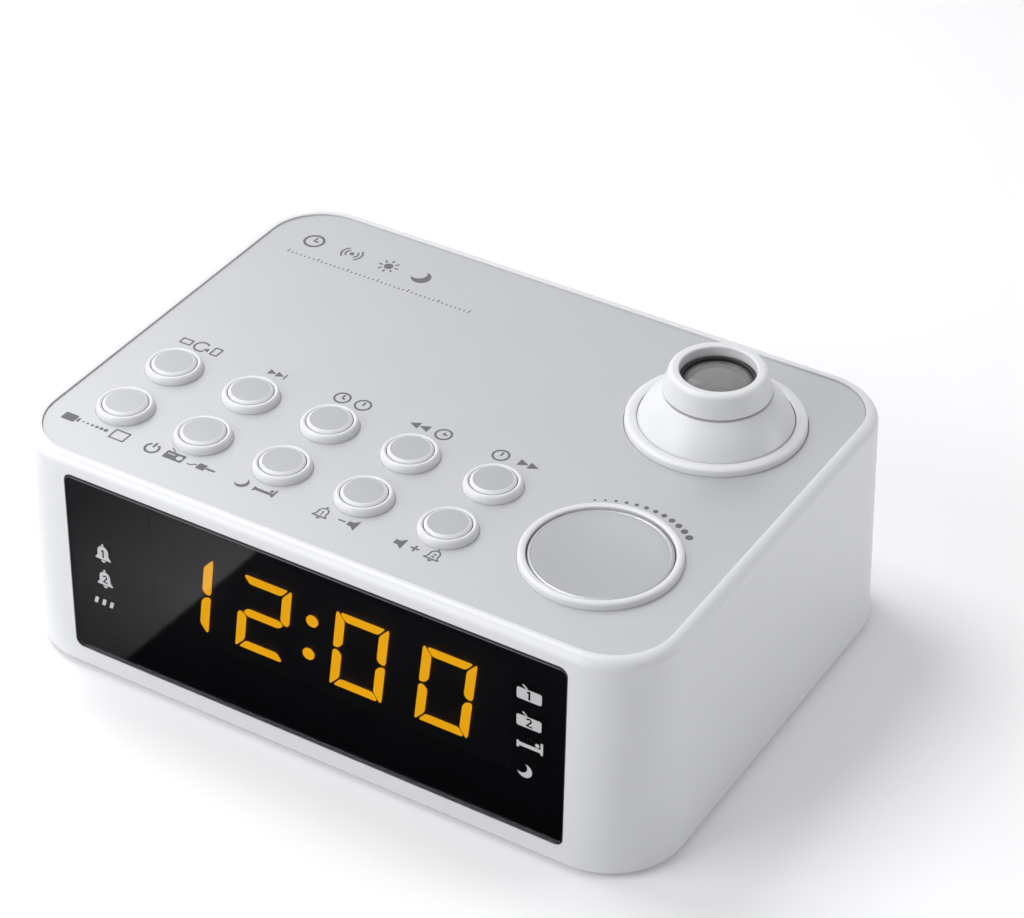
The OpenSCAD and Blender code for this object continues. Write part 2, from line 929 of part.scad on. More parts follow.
module audio_socket() {
    color([0.1, 0.1, 0.1])
    translate([audio_x, mouth_y, jack_z])
        rotate([90, 0, 0])
            difference() {
                union() {
                    cylinder(r = audio_r, h = 6);
                    translate([-4, -jack_z + main_top, 4])
                        cube([8, jack_z - main_top + 4, 12]);
                }
                translate([0, 0, -over])
                    cylinder(r = 1.8, h = 14 + over);
            }
}

// Bush for the aerial wire, pushed into the rear wall from inside.
module antenna_grommet() {
    color([0.15, 0.15, 0.15])
    translate([antenna[0], rear_y(antenna[1]) - 0.6, antenna[1]])
        rotate([90, 0, 0])
            difference() {
                union() {
                    cylinder(r = grommet_r, h = 4.5);
                    translate([0, 0, 2.6])
                        cylinder(r = 5, h = 1.9);
                }
                translate([0, 0, -over])
                    cylinder(r = 1.2, h = 4.5 + 2 * over);
            }
}

module board_screws() {
    color("gray") {
        at_each(key_posts)
            translate([0, 0, key_board_top - board_t])
                pan_screw(2.4, 1.6, shank_r, 7);
        at_each(concat(main_posts, jack_posts))
            translate([0, 0, main_top])
                mirror([0, 0, 1])
                    pan_screw(2.4, 1.6, shank_r, 7);
    }
}

module ferrite_rod() {
    color([0.2, 0.2, 0.2])
        translate([rod[0], rod[2], rod[3]])
            rotate([0, 90, 0])
                cylinder(r = rod_r, h = rod[1] - rod[0]);
}

module rod_coil() {
    color("peru")
        translate([-56, rod[2], rod[3]])
            rotate([0, 90, 0])
                tube(rod_r, rod_r + 1, 0, 22);
}

module rod_clips() {
    color("gainsboro")
        for (x = [-72, -16]) {
            difference() {
                slab(x - 2, x + 2, rod[2] - 6.5, rod[2] + 6.5, rod[3] - 3, deck_z);
                translate([x - 3, rod[2], rod[3]])
                    rotate([0, 90, 0])
                        cylinder(r = rod_r, h = 6);
                slab(x - 3, x + 3, rod[2] - 3.2, rod[2] + 3.2, rod[3] - 4, rod[3]);
            }
        }
}

// ---------------------------------------------------------------- speaker

module at_speaker() {
    translate([speaker_pos[0], speaker_pos[1], base_top])
        children();
}

module speaker_frame() {
    color([0.25, 0.25, 0.26])
    at_speaker()
        difference() {
            rotate_extrude()
                polygon([
                    [24, 0], [speaker_r, 0], [speaker_r, 1.2], [25.2, 1.2],
                    [16.6, 13], [16.6, 15], [8, 15], [8, 14], [15.4, 14], [15.4, 12.6], [24, 1],
                ]);
            for (a = [0:60:300]) {
                rotate([0, 0, a])
                    translate([12, -4, 4])
                        cube([12, 8, 6]);
            }
        }
}

module speaker_magnet() {
    color([0.15, 0.15, 0.16])
        at_speaker() {
            tube(8, 14, 15, 22);
            translate([0, 0, 22])
                cylinder(r = 14, h = 1.4);
            translate([0, 0, 12])
                cylinder(r = 6, h = 10);
        }
}

// Paper cone with a roll surround and a dust cap, facing down.
module speaker_cone() {
    color([0.3, 0.28, 0.26])
    at_speaker()
        rotate_extrude() {
            polygon([[7, 9.6], [20.2, 1.2], [20.8, 1.8], [7, 10.6]]);
            translate([20, 0.7])
                square([3.8, 0.6]);
            polygon([[0, 6.2], [7, 9.6], [7, 10.2], [0, 6.8]]);
            translate([6.2, 9.6])
                square([0.8, 4]);
        }
}

module speaker_screws() {
    color("gray")
    at_speaker()
        for (a = speaker_post_a) {
            rotate([0, 0, a])
                translate([speaker_post_c, 0, 1.2])
                    mirror([0, 0, 1]) {
                        pan_screw(2.4, 2.2, shank_r, 2.6);
                        translate([0, 0, -0.6])
                            tube(2, 4.6, 0, 0.6);
                    }
        }
}

// ---------------------------------------------------------------- projector

module swivel_carrier() {
    color([0.2, 0.2, 0.21])
    at_ball()
        difference() {
            union() {
                tube(carrier_in, carrier_out, carrier_low, carrier_top);
                translate([-lug_w / 2, carrier_out - 1.2, carrier_low])
                    cube([lug_w, lug_out - carrier_out + 1.2, 1.6]);
            }
            translate([-carrier_out - over, 0, ball_z])
                rotate([0, 90, 0])
                    cylinder(r = pin_r + 0.05, h = 2 * carrier_out + 2 * over);
        }
}

module wave_washer() {
    color("silver")
        at_ball()
            tube(carrier_in + 0.6, carrier_out - 0.5, boss_low - washer_t, boss_low);
}

module retainer_ring() {
    color([0.2, 0.2, 0.21])
    at_ball()
        difference() {
            union() {
                tube(carrier_in + 0.3, boss_out - 0.8, retainer_z - washer_t, boss_low - washer_t);
                for (a = retainer_screw_a) {
                    rotate([0, 0, a])
                        translate([retainer_screw_r, 0, retainer_z - washer_t])
                            cylinder(r = retainer_ear_r, h = retainer_t);
                }
                for (a = retainer_screw_a) {
                    rotate([0, 0, a])
                        translate([retainer_screw_r, 0, boss_low - washer_t])
                            tube(1.3, retainer_post_r, 0, washer_t);
                }
            }
            for (a = retainer_screw_a) {
                rotate([0, 0, a])
                    translate([retainer_screw_r, 0, retainer_z - over])
                        cylinder(r = 1.3, h = retainer_t + 2 * over);
            }
            translate([0, 0, retainer_z - over])
                cylinder(r = carrier_in + 0.3, h = retainer_t + 2 * over);
        }
}

module retainer_screws() {
    color("gray")
    at_ball()
        for (a = retainer_screw_a) {
            rotate([0, 0, a])
                translate([retainer_screw_r, 0, retainer_z - washer_t])
                    pan_screw(2.2, 1.5, shank_r, 6.6);
        }
}

// Spherical shell, open below, with a flat top.
module ball_shell() {
    rotate_extrude()
        difference() {
            intersection() {
                translate([0, ball_z])
                    circle(ball_r, $fn = 180);
                translate([0, ball_low])
                    square([ball_r + over, ball_cut - ball_low]);
            }
            intersection() {
                translate([0, ball_z])
                    circle(ball_r - ball_wall, $fn = 180);
                translate([0, ball_low - over])
                    square([ball_r + over, ball_cut - ball_wall - ball_low + over]);
            }
        }
}

// The shell carries a neck that the lens cell slides in, and a boss for each pin.
module projector_ball() {
    color("white")
    at_ball()
        difference() {
            union() {
                ball_shell();
                translate([0, 0, neck_low])
                    cylinder(r = neck_out, h = neck_top - neck_low);
                for (s = [0, 1]) {
                    mirror([s, 0, 0])
                        translate([pin_in - 0.2, 0, ball_z])
                            rotate([0, 90, 0])
                                cylinder(r = pin_boss_r, h = ball_r - ball_wall / 2 - pin_in + 0.2);
                }
            }
            translate([0, 0, neck_low - over])
                cylinder(r = neck_in, h = neck_top - neck_low + 2 * over);
            tube(neck_out - 0.4, neck_out + over, groove_z, groove_z + 0.8);
            translate([-ball_r - over, 0, ball_z])
                rotate([0, 90, 0])
                    cylinder(r = pin_r, h = 2 * ball_r + 2 * over);
        }
}

module trunnion_pins() {
    color("silver")
    at_ball()
        for (s = [0, 1]) {
            mirror([s, 0, 0])
                translate([pin_in, 0, ball_z])
                    rotate([0, 90, 0])
                        cylinder(r = pin_r, h = carrier_out - pin_in - 0.4);
        }
}

// Carries the lamp board below, the condenser and the glass on its ledges.
module lamp_tube() {
    color([0.12, 0.12, 0.12])
    at_ball()
        rotate_extrude()
            polygon([
                [tube_in, tube_low], [tube_out, tube_low], [tube_out, neck_low],
                [neck_in - 0.02, neck_low], [neck_in - 0.02, neck_low + 2.4],
                [tube_in - 0.4, neck_low + 2.4], [tube_in - 0.4, 64], [tube_in, 64],
                [tube_in, 62], [tube_in - 1.2, 62], [tube_in - 1.2, 61], [tube_in, 61],
                [tube_in, 54], [tube_in - 1.2, 54], [tube_in - 1.2, 53], [tube_in, 53],
            ]);
}

module lamp_board() {
    color("darkgreen")
        at_ball()
            translate([0, 0, tube_low - board_t])
                cylinder(r = tube_out, h = board_t);
}

module projector_lamp() {
    color([0.8, 0.1, 0.1])
    at_ball()
        rotate_extrude() {
            translate([0, tube_low])
                square([2.9, 1]);
            translate([0, tube_low])
                square([2.5, 6]);
            intersection() {
                translate([0, tube_low + 6])
                    circle(2.5);
                translate([0, tube_low + 5])
                    square([3, 4]);
            }
        }
}

// Plano-convex lens of radius r and edge thickness t, flat face at z, convex upwards by rise.
module plano_convex(r, t, rise, z) {
    round_r = (r * r + rise * rise) / (2 * rise);
    rotate_extrude() {
        translate([0, z])
            square([r, t]);
        intersection() {
            translate([0, z + t + rise - round_r])
                circle(round_r, $fn = 360);
            translate([0, z + t - 0.01])
                square([r, rise + 0.02]);
        }
    }
}

module condenser_lens() {
    color([0.8, 0.85, 0.9, 0.5])
        at_ball()
            plano_convex(tube_in - 0.1, 1, 3, 54);
}

module projector_glass() {
    color([0.3, 0.32, 0.35])
        at_ball()
            slab(-6, 6, -6, 6, 62, 63.8);
}

module lens_cell() {
    color([0.08, 0.08, 0.08])
    at_ball()
        rotate_extrude()
            polygon([
                [cell_in, cell_z[0]], [cell_r, cell_z[0]], [cell_r, cell_z[1]],
                [lens_r + 0.1, cell_z[1]], [lens_r + 0.1, cell_z[1] - lens_drop],
                [cell_in, cell_z[1] - lens_drop],
            ]);
}

module objective_lens() {
    color([0.85, 0.85, 0.9, 0.5])
        at_ball()
            plano_convex(lens_r, 0.9, 1.9, cell_z[1] - lens_drop);
}

// Turning sleeve around the neck: tapered outside, with a round lip and a bead in the neck's groove.
module focus_barrel() {
    lip = (barrel_lip_r - lip_in) / 2;
    shelf = 82.6;
    color("white")
    at_ball()
        rotate_extrude() {
            difference() {
                union() {
                    polygon([
                        [lip_in, barrel_low], [barrel_foot_r, barrel_low],
                        [barrel_lip_r, barrel_z - lip], [lip_in, barrel_z - lip],
                    ]);
                    translate([lip_in + lip, barrel_z - lip])
                        circle(lip);
                }
                translate([0, barrel_low - over])
                    square([neck_out + 0.06, shelf - barrel_low + over]);
            }
            translate([neck_out - 0.33, groove_z + 0.2])
                square([0.6, 0.4]);
        }
}

cabinet();
base_cover();
top_plate();
display_window();
display_bezel();
digit_block();
lit_segments();
unlit_segments();
display_board();
indicator_lamps();
rotate_key();
memory_key();
clock_set_key();
hour_key();
minute_key();
projection_key();
power_key();
sleep_key();
volume_down_key();
volume_up_key();
snooze_key();
key_board();
tact_switches();
main_board();
chips();
capacitors();
tuner_can();
board_connectors();
ribbon_cable();
jack_board();
power_inlet();
audio_socket();
antenna_grommet();
speaker_frame();
speaker_magnet();
speaker_cone();
speaker_screws();
ferrite_rod();
rod_coil();
rod_clips();
battery_door();
backup_cells();
cell_contacts();
rubber_feet();
case_screws();
board_screws();
retainer_ring();
retainer_screws();
wave_washer();
swivel_carrier();
projector_ball();
trunnion_pins();
lamp_tube();
lamp_board();
projector_lamp();
condenser_lens();
projector_glass();
lens_cell();
objective_lens();
focus_barrel();
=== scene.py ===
import json
import math

import bmesh
import bpy
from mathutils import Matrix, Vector

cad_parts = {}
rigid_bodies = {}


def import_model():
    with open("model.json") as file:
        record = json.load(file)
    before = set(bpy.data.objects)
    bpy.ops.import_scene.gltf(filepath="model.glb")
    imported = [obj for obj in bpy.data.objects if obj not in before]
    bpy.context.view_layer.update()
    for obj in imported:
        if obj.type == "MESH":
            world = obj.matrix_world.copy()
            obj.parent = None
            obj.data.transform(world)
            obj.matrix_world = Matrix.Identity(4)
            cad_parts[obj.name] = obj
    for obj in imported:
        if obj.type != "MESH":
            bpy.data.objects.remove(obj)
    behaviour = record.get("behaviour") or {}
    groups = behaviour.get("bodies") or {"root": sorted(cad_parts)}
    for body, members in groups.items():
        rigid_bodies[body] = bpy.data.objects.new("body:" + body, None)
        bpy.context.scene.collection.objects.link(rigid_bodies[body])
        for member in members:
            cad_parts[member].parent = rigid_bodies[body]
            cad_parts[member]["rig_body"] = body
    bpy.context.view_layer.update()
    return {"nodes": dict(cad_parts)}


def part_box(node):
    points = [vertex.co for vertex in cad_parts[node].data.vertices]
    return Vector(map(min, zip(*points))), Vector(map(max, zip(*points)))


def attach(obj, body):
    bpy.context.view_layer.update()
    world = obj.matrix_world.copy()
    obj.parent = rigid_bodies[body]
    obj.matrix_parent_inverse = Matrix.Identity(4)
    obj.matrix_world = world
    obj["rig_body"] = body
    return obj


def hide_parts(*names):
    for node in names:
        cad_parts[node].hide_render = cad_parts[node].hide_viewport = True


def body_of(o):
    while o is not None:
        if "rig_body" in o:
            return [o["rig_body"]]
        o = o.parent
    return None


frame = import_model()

# ---------------------------------------------------------------- Studio
# The clock stands on a pale floor in a white room. Two large soft lights stand on its left, a weak
# one behind them and a low one at its rear right. A black flag keeps the window's reflection dark.

# Sizes are in millimetres until a mesh is made, and MM turns them to metres.
MM = 0.001

scene = bpy.context.scene
scene.view_settings.view_transform = "Standard"

camera = bpy.data.objects.new("camera", bpy.data.cameras.new("camera"))
camera.data.sensor_width = 36
camera.data.lens = 111.3
camera.location = (0.3707, -0.5765, 0.5555)
camera.rotation_euler = [math.radians(turn) for turn in (53.794, -0.034, 31.506)]
scene.collection.objects.link(camera)
scene.camera = camera

clock_middle = Vector((0.0, 0.0, 0.03))


def soft_light(name, place, size, watts):
    """A square soft box at place, in metres, that faces the clock."""
    lamp = bpy.data.lights.new(name, "AREA")
    lamp.size = size
    lamp.energy = watts
    box = bpy.data.objects.new(name, lamp)
    box.location = place
    box.rotation_euler = (clock_middle - Vector(place)).to_track_quat("-Z", "Y").to_euler()
    scene.collection.objects.link(box)


soft_light("high_light", (-0.38, 0.08, 0.85), size=0.42, watts=4.1)
soft_light("front_light", (-0.55, -0.75, 0.50), size=0.7, watts=6.0)
soft_light("back_light", (-0.75, 0.35, 0.60), size=0.55, watts=1.0)
soft_light("right_light", (0.52, 0.24, 0.11), size=0.18, watts=0.44)

world = bpy.data.worlds.new("pale_room")
scene.world = world
world.use_nodes = True
room = world.node_tree
room.nodes.clear()


def feed(tree, socket, value):
    """Links the output socket of a node to an input, or sets a plain value on it."""
    if isinstance(value, bpy.types.NodeSocket):
        tree.links.new(value, socket)
    else:
        socket.default_value = value


def add_node(tree, kind, *in_order, **by_name):
    """A node of a tree. Values feed its inputs in their order, where None leaves one out, or by
    name. A name that no input has is a setting of the node."""
    node = tree.nodes.new(kind)
    for key, value in by_name.items():
        socket = node.inputs.get(key.replace("_", " "))
        if socket is None:
            setattr(node, key, value)
        else:
            feed(tree, socket, value)
    for socket, value in zip(node.inputs, in_order):
        if value is not None:
            feed(tree, socket, value)
    return node


def maths(tree, operation, *values):
    """The result of a maths node. Each value is a number or the output of a node."""
    return add_node(tree, "ShaderNodeMath", *values, operation=operation).outputs[0]


def seen_rays(tree):
    """1 for rays from the camera, off gloss and through glass. These see the plain white room."""
    rays = add_node(tree, "ShaderNodeLightPath").outputs
    either = maths(tree, "MAXIMUM", rays["Is Camera Ray"], rays["Is Glossy Ray"])
    return maths(tree, "MAXIMUM", either, rays["Is Transmission Ray"])


room_white = (0.985, 0.99, 1.0, 1)
room_light = 0.45
level = add_node(room, "ShaderNodeMapRange", To_Min=room_light, To_Max=1.0, Value=seen_rays(room))
sky = add_node(room, "ShaderNodeBackground", Color=room_white, Strength=level.outputs["Result"])
add_node(room, "ShaderNodeOutputWorld", Surface=sky.outputs[0])


def flat_sheet(name, low, high, z):
    """A level sheet between two corners, in millimetres, and the empty tree of its material."""
    mesh = bpy.data.meshes.new(name)
    corners = (low, (high[0], low[1]), high, (low[0], high[1]))
    mesh.from_pydata([(x * MM, y * MM, z * MM) for x, y in corners], [], [(0, 1, 2, 3)])
    sheet = bpy.data.objects.new(name, mesh)
    scene.collection.objects.link(sheet)
    material = bpy.data.materials.new(name)
    material.use_nodes = True
    material.node_tree.nodes.clear()
    mesh.materials.append(material)
    return sheet, material.node_tree


floor_reach, floor_glow = 3000.0, 0.08
floor, tree = flat_sheet("floor", (-floor_reach, -floor_reach), (floor_reach, floor_reach), 0)
matt = add_node(tree, "ShaderNodeBsdfDiffuse", Color=(0.91, 0.91, 0.92, 1))
glow = add_node(tree, "ShaderNodeEmission", Color=room_white,
                Strength=maths(tree, "MULTIPLY", seen_rays(tree), floor_glow))
both = add_node(tree, "ShaderNodeAddShader", matt.outputs[0], glow.outputs[0])
below = add_node(tree, "ShaderNodeNewGeometry").outputs["Backfacing"]
clear = add_node(tree, "ShaderNodeBsdfTransparent")
one_sided = add_node(tree, "ShaderNodeMixShader", below, both.outputs[0], clear.outputs[0])
add_node(tree, "ShaderNodeOutputMaterial", Surface=one_sided.outputs[0])

# The flag lies before the clock and is seen in gloss alone. Its material paints the window's
# reflection: black right of a line on the left, and past that line partly see-through, graded
# across and outwards, so a lighter painted reflection of the white room shows there.
flag, tree = flat_sheet("black_flag", (-180.0, -230.0), (190.0, -76.0), 0.6)
flag.visible_camera = flag.visible_diffuse = flag.visible_shadow = flag.visible_volume_scatter = False


def fade(tree, across, start, end, at_start, at_end):
    """A value that changes between two places along one axis, in millimetres."""
    ramp = add_node(tree, "ShaderNodeMapRange", across, From_Min=start * MM, From_Max=end * MM,
                    To_Min=at_start, To_Max=at_end)
    return ramp.outputs["Result"]


# These fades set how dark the painted reflection is at each place on the flag, darker towards the
# clock.
place = add_node(tree, "ShaderNodeTexCoord").outputs["Object"]
x, y, _ = add_node(tree, "ShaderNodeSeparateXYZ", place).outputs
flag_end, soft_end = -67.0, 0.8
past_end = fade(tree, x, flag_end - soft_end, flag_end + soft_end, 1.0, 0.0)
across = fade(tree, x, -125.0, -70.0, 0.15, 0.57)
outwards = fade(tree, y, -115.0, -80.0, 1.0, 0.38)
reflection_lift = maths(tree, "MULTIPLY", maths(tree, "MULTIPLY", past_end, across), outwards)
grey = fade(tree, y, -135.0, -85.0, 0.05, 0.03)
reflection_tint = add_node(tree, "ShaderNodeCombineColor", grey, grey, maths(tree, "MULTIPLY", grey, 1.25))
dark_reflection = add_node(tree, "ShaderNodeBsdfDiffuse", Color=reflection_tint.outputs[0])
room_reflection = add_node(tree, "ShaderNodeBsdfTransparent")
painted_reflection = add_node(tree, "ShaderNodeMixShader", reflection_lift, dark_reflection.outputs[0], room_reflection.outputs[0])
add_node(tree, "ShaderNodeOutputMaterial", Surface=painted_reflection.outputs[0])

# ---------------------------------------------------------------- Cabinet
# The upper case is one moulding of white satin ABS, 3 mm thick, with drafted walls. It holds the
# window's opening, a recess for the silver plate, a raised collar round each key and round the
# projector's ball, and the posts that the boards and the base are screwed to.
draft = math.radians(1.64)
core = Vector((78.0, 50.6))
plate_top = 68.5
plate_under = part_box("top_plate")[0].z / MM
deck_under = plate_under - 2.2
rim_top = 69.0
foot_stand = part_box("cabinet")[0].z / MM
wall = 3.0
edge_r = 3.0
low_edge_r = 1.0
recess_reach = 16.3
corner_steps = 20
corner_points = corner_steps + 1
top_reach = 19.7


def wall_reach(z):
    """How far the outer wall stands from the corner axes at a height."""
    return top_reach + math.tan(draft) * (plate_top - z)


def arc(cx, cy, r, start, end, steps):
    """Points of an arc, from and to angles in degrees."""
    turns = [math.radians(start + (end - start) * k / steps) for k in range(steps + 1)]
    return [(cx + r * math.cos(a), cy + r * math.sin(a)) for a in turns]


def round_corner_ring(half_w, half_d, r, steps=14):
    """A rectangle with round corners, counter-clockwise from its right side's far end."""
    points = []
    for k, (sx, sy) in enumerate(((1, 1), (-1, 1), (-1, -1), (1, -1))):
        points += arc(sx * (half_w - r), sy * (half_d - r), r, 90 * k, 90 * (k + 1), steps)
    return points


def add_ring(bm, points):
    """Vertices for a closed ring of 3-D points, joined by edges."""
    ring = [bm.verts.new(p) for p in points]
    for a, b in zip(ring, ring[1:] + ring[:1]):
        bm.edges.new((a, b))
    return ring


def bridge(bm, rings, gaps=()):
    """Faces between each ring and the next, apart from the sides whose number is in gaps."""
    for low, high in zip(rings, rings[1:]):
        for k in range(len(low)):
            if k not in gaps:
                n = (k + 1) % len(low)
                bm.faces.new((low[k], low[n], high[n], high[k]))


def ring_edges(bm, ring):
    """The edges that join a ring's vertices."""
    return [bm.edges.get((a, b)) for a, b in zip(ring, ring[1:] + ring[:1])]


def fill(bm, edges):
    """Flat faces inside an outline of edges and around the holes in it."""
    bmesh.ops.triangle_fill(bm, use_beauty=True, edges=edges)


def plan_ring(bm, reach, z):
    """The case's outline in plan at a height, where reach is how far it stands from its core."""
    ring = round_corner_ring(core.x + reach, core.y + reach, reach, corner_steps)
    return add_ring(bm, [(x, y, z) for x, y in ring])


def round_ring(bm, centre, r, z, steps=80):
    """A level circle at a height."""
    circle = arc(0, 0, r, 0, 360, steps)[:-1]
    return add_ring(bm, [(centre[0] + x, centre[1] + y, z) for x, y in circle])


def to_mesh(name, bm):
    """The mesh of geometry that is in metres already."""
    mesh = bpy.data.meshes.new(name)
    bm.to_mesh(mesh)
    bm.free()
    return mesh


def in_metres(name, bm):
    """The mesh of geometry in millimetres, with its faces turned outwards."""
    bmesh.ops.recalc_face_normals(bm, faces=bm.faces)
    bmesh.ops.scale(bm, vec=(MM, MM, MM), verts=bm.verts)
    return to_mesh(name, bm)


def make_piece(name, bm, body, material, stands_for=(), sharp=38):
    """A piece from geometry in millimetres."""
    return finish_piece(name, in_metres(name, bm), body, material, stands_for, sharp)


def finish_piece(name, mesh, body, material, stands_for=(), sharp=38):
    """A mesh as a piece that rides on a body. Edges over the sharp angle keep a hard shade."""
    mesh.materials.clear()
    mesh.materials.append(material)
    mesh.shade_smooth()
    mesh.set_sharp_from_angle(angle=math.radians(sharp))
    piece = bpy.data.objects.new(name, mesh)
    scene.collection.objects.link(piece)
    even = piece.modifiers.new("even_shading", "WEIGHTED_NORMAL")
    even.keep_sharp = True
    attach(piece, body)
    if stands_for:
        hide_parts(*stands_for)
    return piece


def new_group(name, inputs, outputs, trees="Shader"):
    """A node group with sockets made from (name, kind, value), and the nodes of its two ends."""
    group = bpy.data.node_groups.new(name, trees + "NodeTree")
    for side, sockets in (("INPUT", inputs), ("OUTPUT", outputs)):
        for label, kind, value in sockets:
            socket = group.interface.new_socket(
                name=label, in_out=side, socket_type="NodeSocket" + kind)
            if value is not None:
                socket.default_value = value
    return group, group.nodes.new("NodeGroupInput").outputs, group.nodes.new("NodeGroupOutput").inputs


def give(tree, ends, **results):
    """Links results to the end of a tree, by the names of its outputs."""
    for label, result in results.items():
        tree.links.new(result, ends[label])


def scaled(tree, colour, factor):
    """A colour made lighter or darker."""
    return add_node(tree, "ShaderNodeVectorMath", colour, operation="SCALE", Scale=factor).outputs[0]


skin_outputs = [("Colour", "Color", None), ("Roughness", "Float", None), ("Height", "Float", None)]

# Moulded skin: the fine spark-eroded grain of a mould, and a slow drift in how polished it is.
moulded_skin, given, ends = new_group(
    "moulded_skin",
    [("Grains per metre", "Float", 2500.0), ("Roughness", "Float", 0.3), ("Drift", "Float", 0.05),
     ("Colour", "Color", (0.8, 0.8, 0.8, 1)), ("Mottle", "Float", 0.02)], skin_outputs)
where = add_node(moulded_skin, "ShaderNodeTexCoord").outputs["Object"]
grain = add_node(moulded_skin, "ShaderNodeTexNoise", Detail=3.0, Roughness=0.6, Vector=where,
                 Scale=given["Grains per metre"])
cloud = add_node(moulded_skin, "ShaderNodeTexNoise", Scale=38.0, Detail=2.0, Vector=where)
centred = maths(moulded_skin, "SUBTRACT", cloud.outputs["Fac"], 0.5)
rough = maths(moulded_skin, "MULTIPLY_ADD", centred, given["Drift"], given["Roughness"])
tone = maths(moulded_skin, "MULTIPLY_ADD", centred, given["Mottle"], 1.0)
give(moulded_skin, ends, Colour=scaled(moulded_skin, given["Colour"], tone), Roughness=rough,
     Height=grain.outputs["Fac"])


def skin_material(name, colour, group, settings, bump=0.0, **sockets):
    """A Principled material fed by one of the groups. Plain numbers go on its own sockets."""
    material = bpy.data.materials.new(name)
    material.use_nodes = True
    tree = material.node_tree
    shader = tree.nodes["Principled BSDF"].inputs
    effect = add_node(tree, "ShaderNodeGroup", node_tree=group, Colour=(*colour, 1))
    for key, value in settings.items():
        effect.inputs[key].default_value = value
    shader["Base Color"].default_value = (*colour, 1)
    for key, value in sockets.items():
        shader[key.replace("_", " ")].default_value = value
    give(tree, shader, **{"Base Color": effect.outputs["Colour"],
                          "Roughness": effect.outputs["Roughness"]})
    if bump:
        relief = add_node(tree, "ShaderNodeBump", Strength=1.0, Distance=bump * MM,
                          Height=effect.outputs["Height"])
        give(tree, shader, Normal=relief.outputs["Normal"])
    return material


def moulded(name, colour, grains, roughness, drift, mottle, bump=0.0, **sockets):
    """A material with the moulded skin. Its bump is in millimetres."""
    settings = {"Grains per metre": grains, "Roughness": roughness, "Drift": drift, "Mottle": mottle}
    return skin_material(name, colour, moulded_skin, settings, bump, **sockets)


white_case = moulded("white_case", (0.68, 0.685, 0.70), grains=1800.0, roughness=0.38, drift=0.06,
                     mottle=0.015, bump=0.004)

# Opening of the window, in the frame of the leaning front wall
window_z = 35.7
front_y = -(core.y + wall_reach(window_z))
window_w, window_h, window_r = 153.4, 57.0, 2.5
window_seat = 1.85
seat_ledge = 2.2
lip_r = 0.1


def on_front(x, depth, up):
    """A point of the front wall's own frame: right, into the wall, and up along it."""
    return Vector((x, front_y + depth * math.cos(draft) + up * math.sin(draft),
                   window_z + up * math.cos(draft) - depth * math.sin(draft)))


def front_ring(bm, grow, r, depth):
    """The window's outline made larger or smaller, at a depth in the front wall."""
    ring = round_corner_ring(window_w / 2 + grow, window_h / 2 + grow, r, 10)
    return add_ring(bm, [on_front(x, depth, up) for x, up in ring])


# Round holes in the rear wall: across, up, radius
rear_holes = ((-15.0, 21.0, 5.6), (1.0, 21.0, 3.8), (-70.0, 24.0, 3.5))


def rear_ring(bm, hole, grow, depth):
    """A hole's outline made larger, at a depth in the rear wall."""
    circle = arc(hole[0], hole[1], hole[2] + grow, 0, 360, 48)[:-1]
    return add_ring(bm, [(x, core.y + wall_reach(z) - depth, z) for x, z in circle])


# Collars that pass through the plate: centre, inner radius, width, height above the plate
key_pitch = (25.4, 21.7)
key_places = [(-76.2 + column * key_pitch[0], -21.8 - row * key_pitch[1])
              for row in range(2) for column in range(5)]
snooze_place = (64.0, -33.1)
ball_place = (60.7, 33.1)
collars = [(place, 6.35, 1.65, 2.1) for place in key_places]
collars += [(snooze_place, 18.9, 2.2, 1.9), (ball_place, 21.12, 3.28, 2.07)]
ball_bore_low = 22.7


def collar_side(place, r_in, width, height):
    """Outline of a collar. A key's leans in all the way up to its soft crest; the other two have a
    steep side and a round crest, and the ball's bore widens downwards."""
    r_out, top = r_in + width, plate_top + height
    peak, foot, shoulder, power = r_in + width * 0.48, r_out - 0.12, 0.9, 1.0
    if place in key_places:
        peak, foot, shoulder, power = r_in + 0.66, r_out, height, 1.12
    side = [(r_out, plate_under), (r_out, plate_top), (foot, top - shoulder + 0.02)]
    side += [(peak + (foot - peak) * x ** power, top - shoulder + shoulder * y ** power)
             for x, y in arc(0, 0, 1, 12, 90, 12)]
    side += [(peak - (peak - r_in) * x, top - 0.4 + 0.4 * y) for x, y in arc(0, 0, 1, 80, 0, 8)]
    if place == ball_place:
        return side + [(r_in + 0.55, plate_top), (ball_bore_low, deck_under)]
    return side + [(r_in, plate_top), (r_in, deck_under)]


shell = bmesh.new()
low_z = foot_stand + low_edge_r
low_x = wall_reach(low_z) - low_edge_r / math.cos(draft)
high_z = rim_top - edge_r
high_x = wall_reach(high_z) - edge_r / math.cos(draft)
lean = math.degrees(draft)
outline = [(wall_reach(foot_stand) - wall, foot_stand)]
outline += arc(low_x, low_z, low_edge_r, -90, lean, 6)
wall_foot = len(outline) - 1
outline += arc(high_x, high_z, edge_r, lean, 90, 16)
outline += arc(recess_reach + lip_r, rim_top - lip_r, lip_r, 90, 180, 4)
outline += [(recess_reach, plate_under)]
outer = [plan_ring(shell, reach, z) for reach, z in outline]
front_side, rear_side = 3 * corner_points - 1, corner_points - 1
bridge(shell, outer[:wall_foot + 1])
bridge(shell, outer[wall_foot:wall_foot + 2], gaps=(front_side, rear_side))
bridge(shell, outer[wall_foot + 1:])
inner = [outer[0], plan_ring(shell, wall_reach(deck_under) - wall, deck_under)]
bridge(shell, inner, gaps=(front_side, rear_side))


def side_edges(bm, low, high, side):
    """The four edges of a side that bridge() left open."""
    after = (side + 1) % len(low)
    return [bm.edges.get(pair) for pair in ((low[side], low[after]), (high[side], high[after]),
                                            (low[side], high[side]), (low[after], high[after]))]


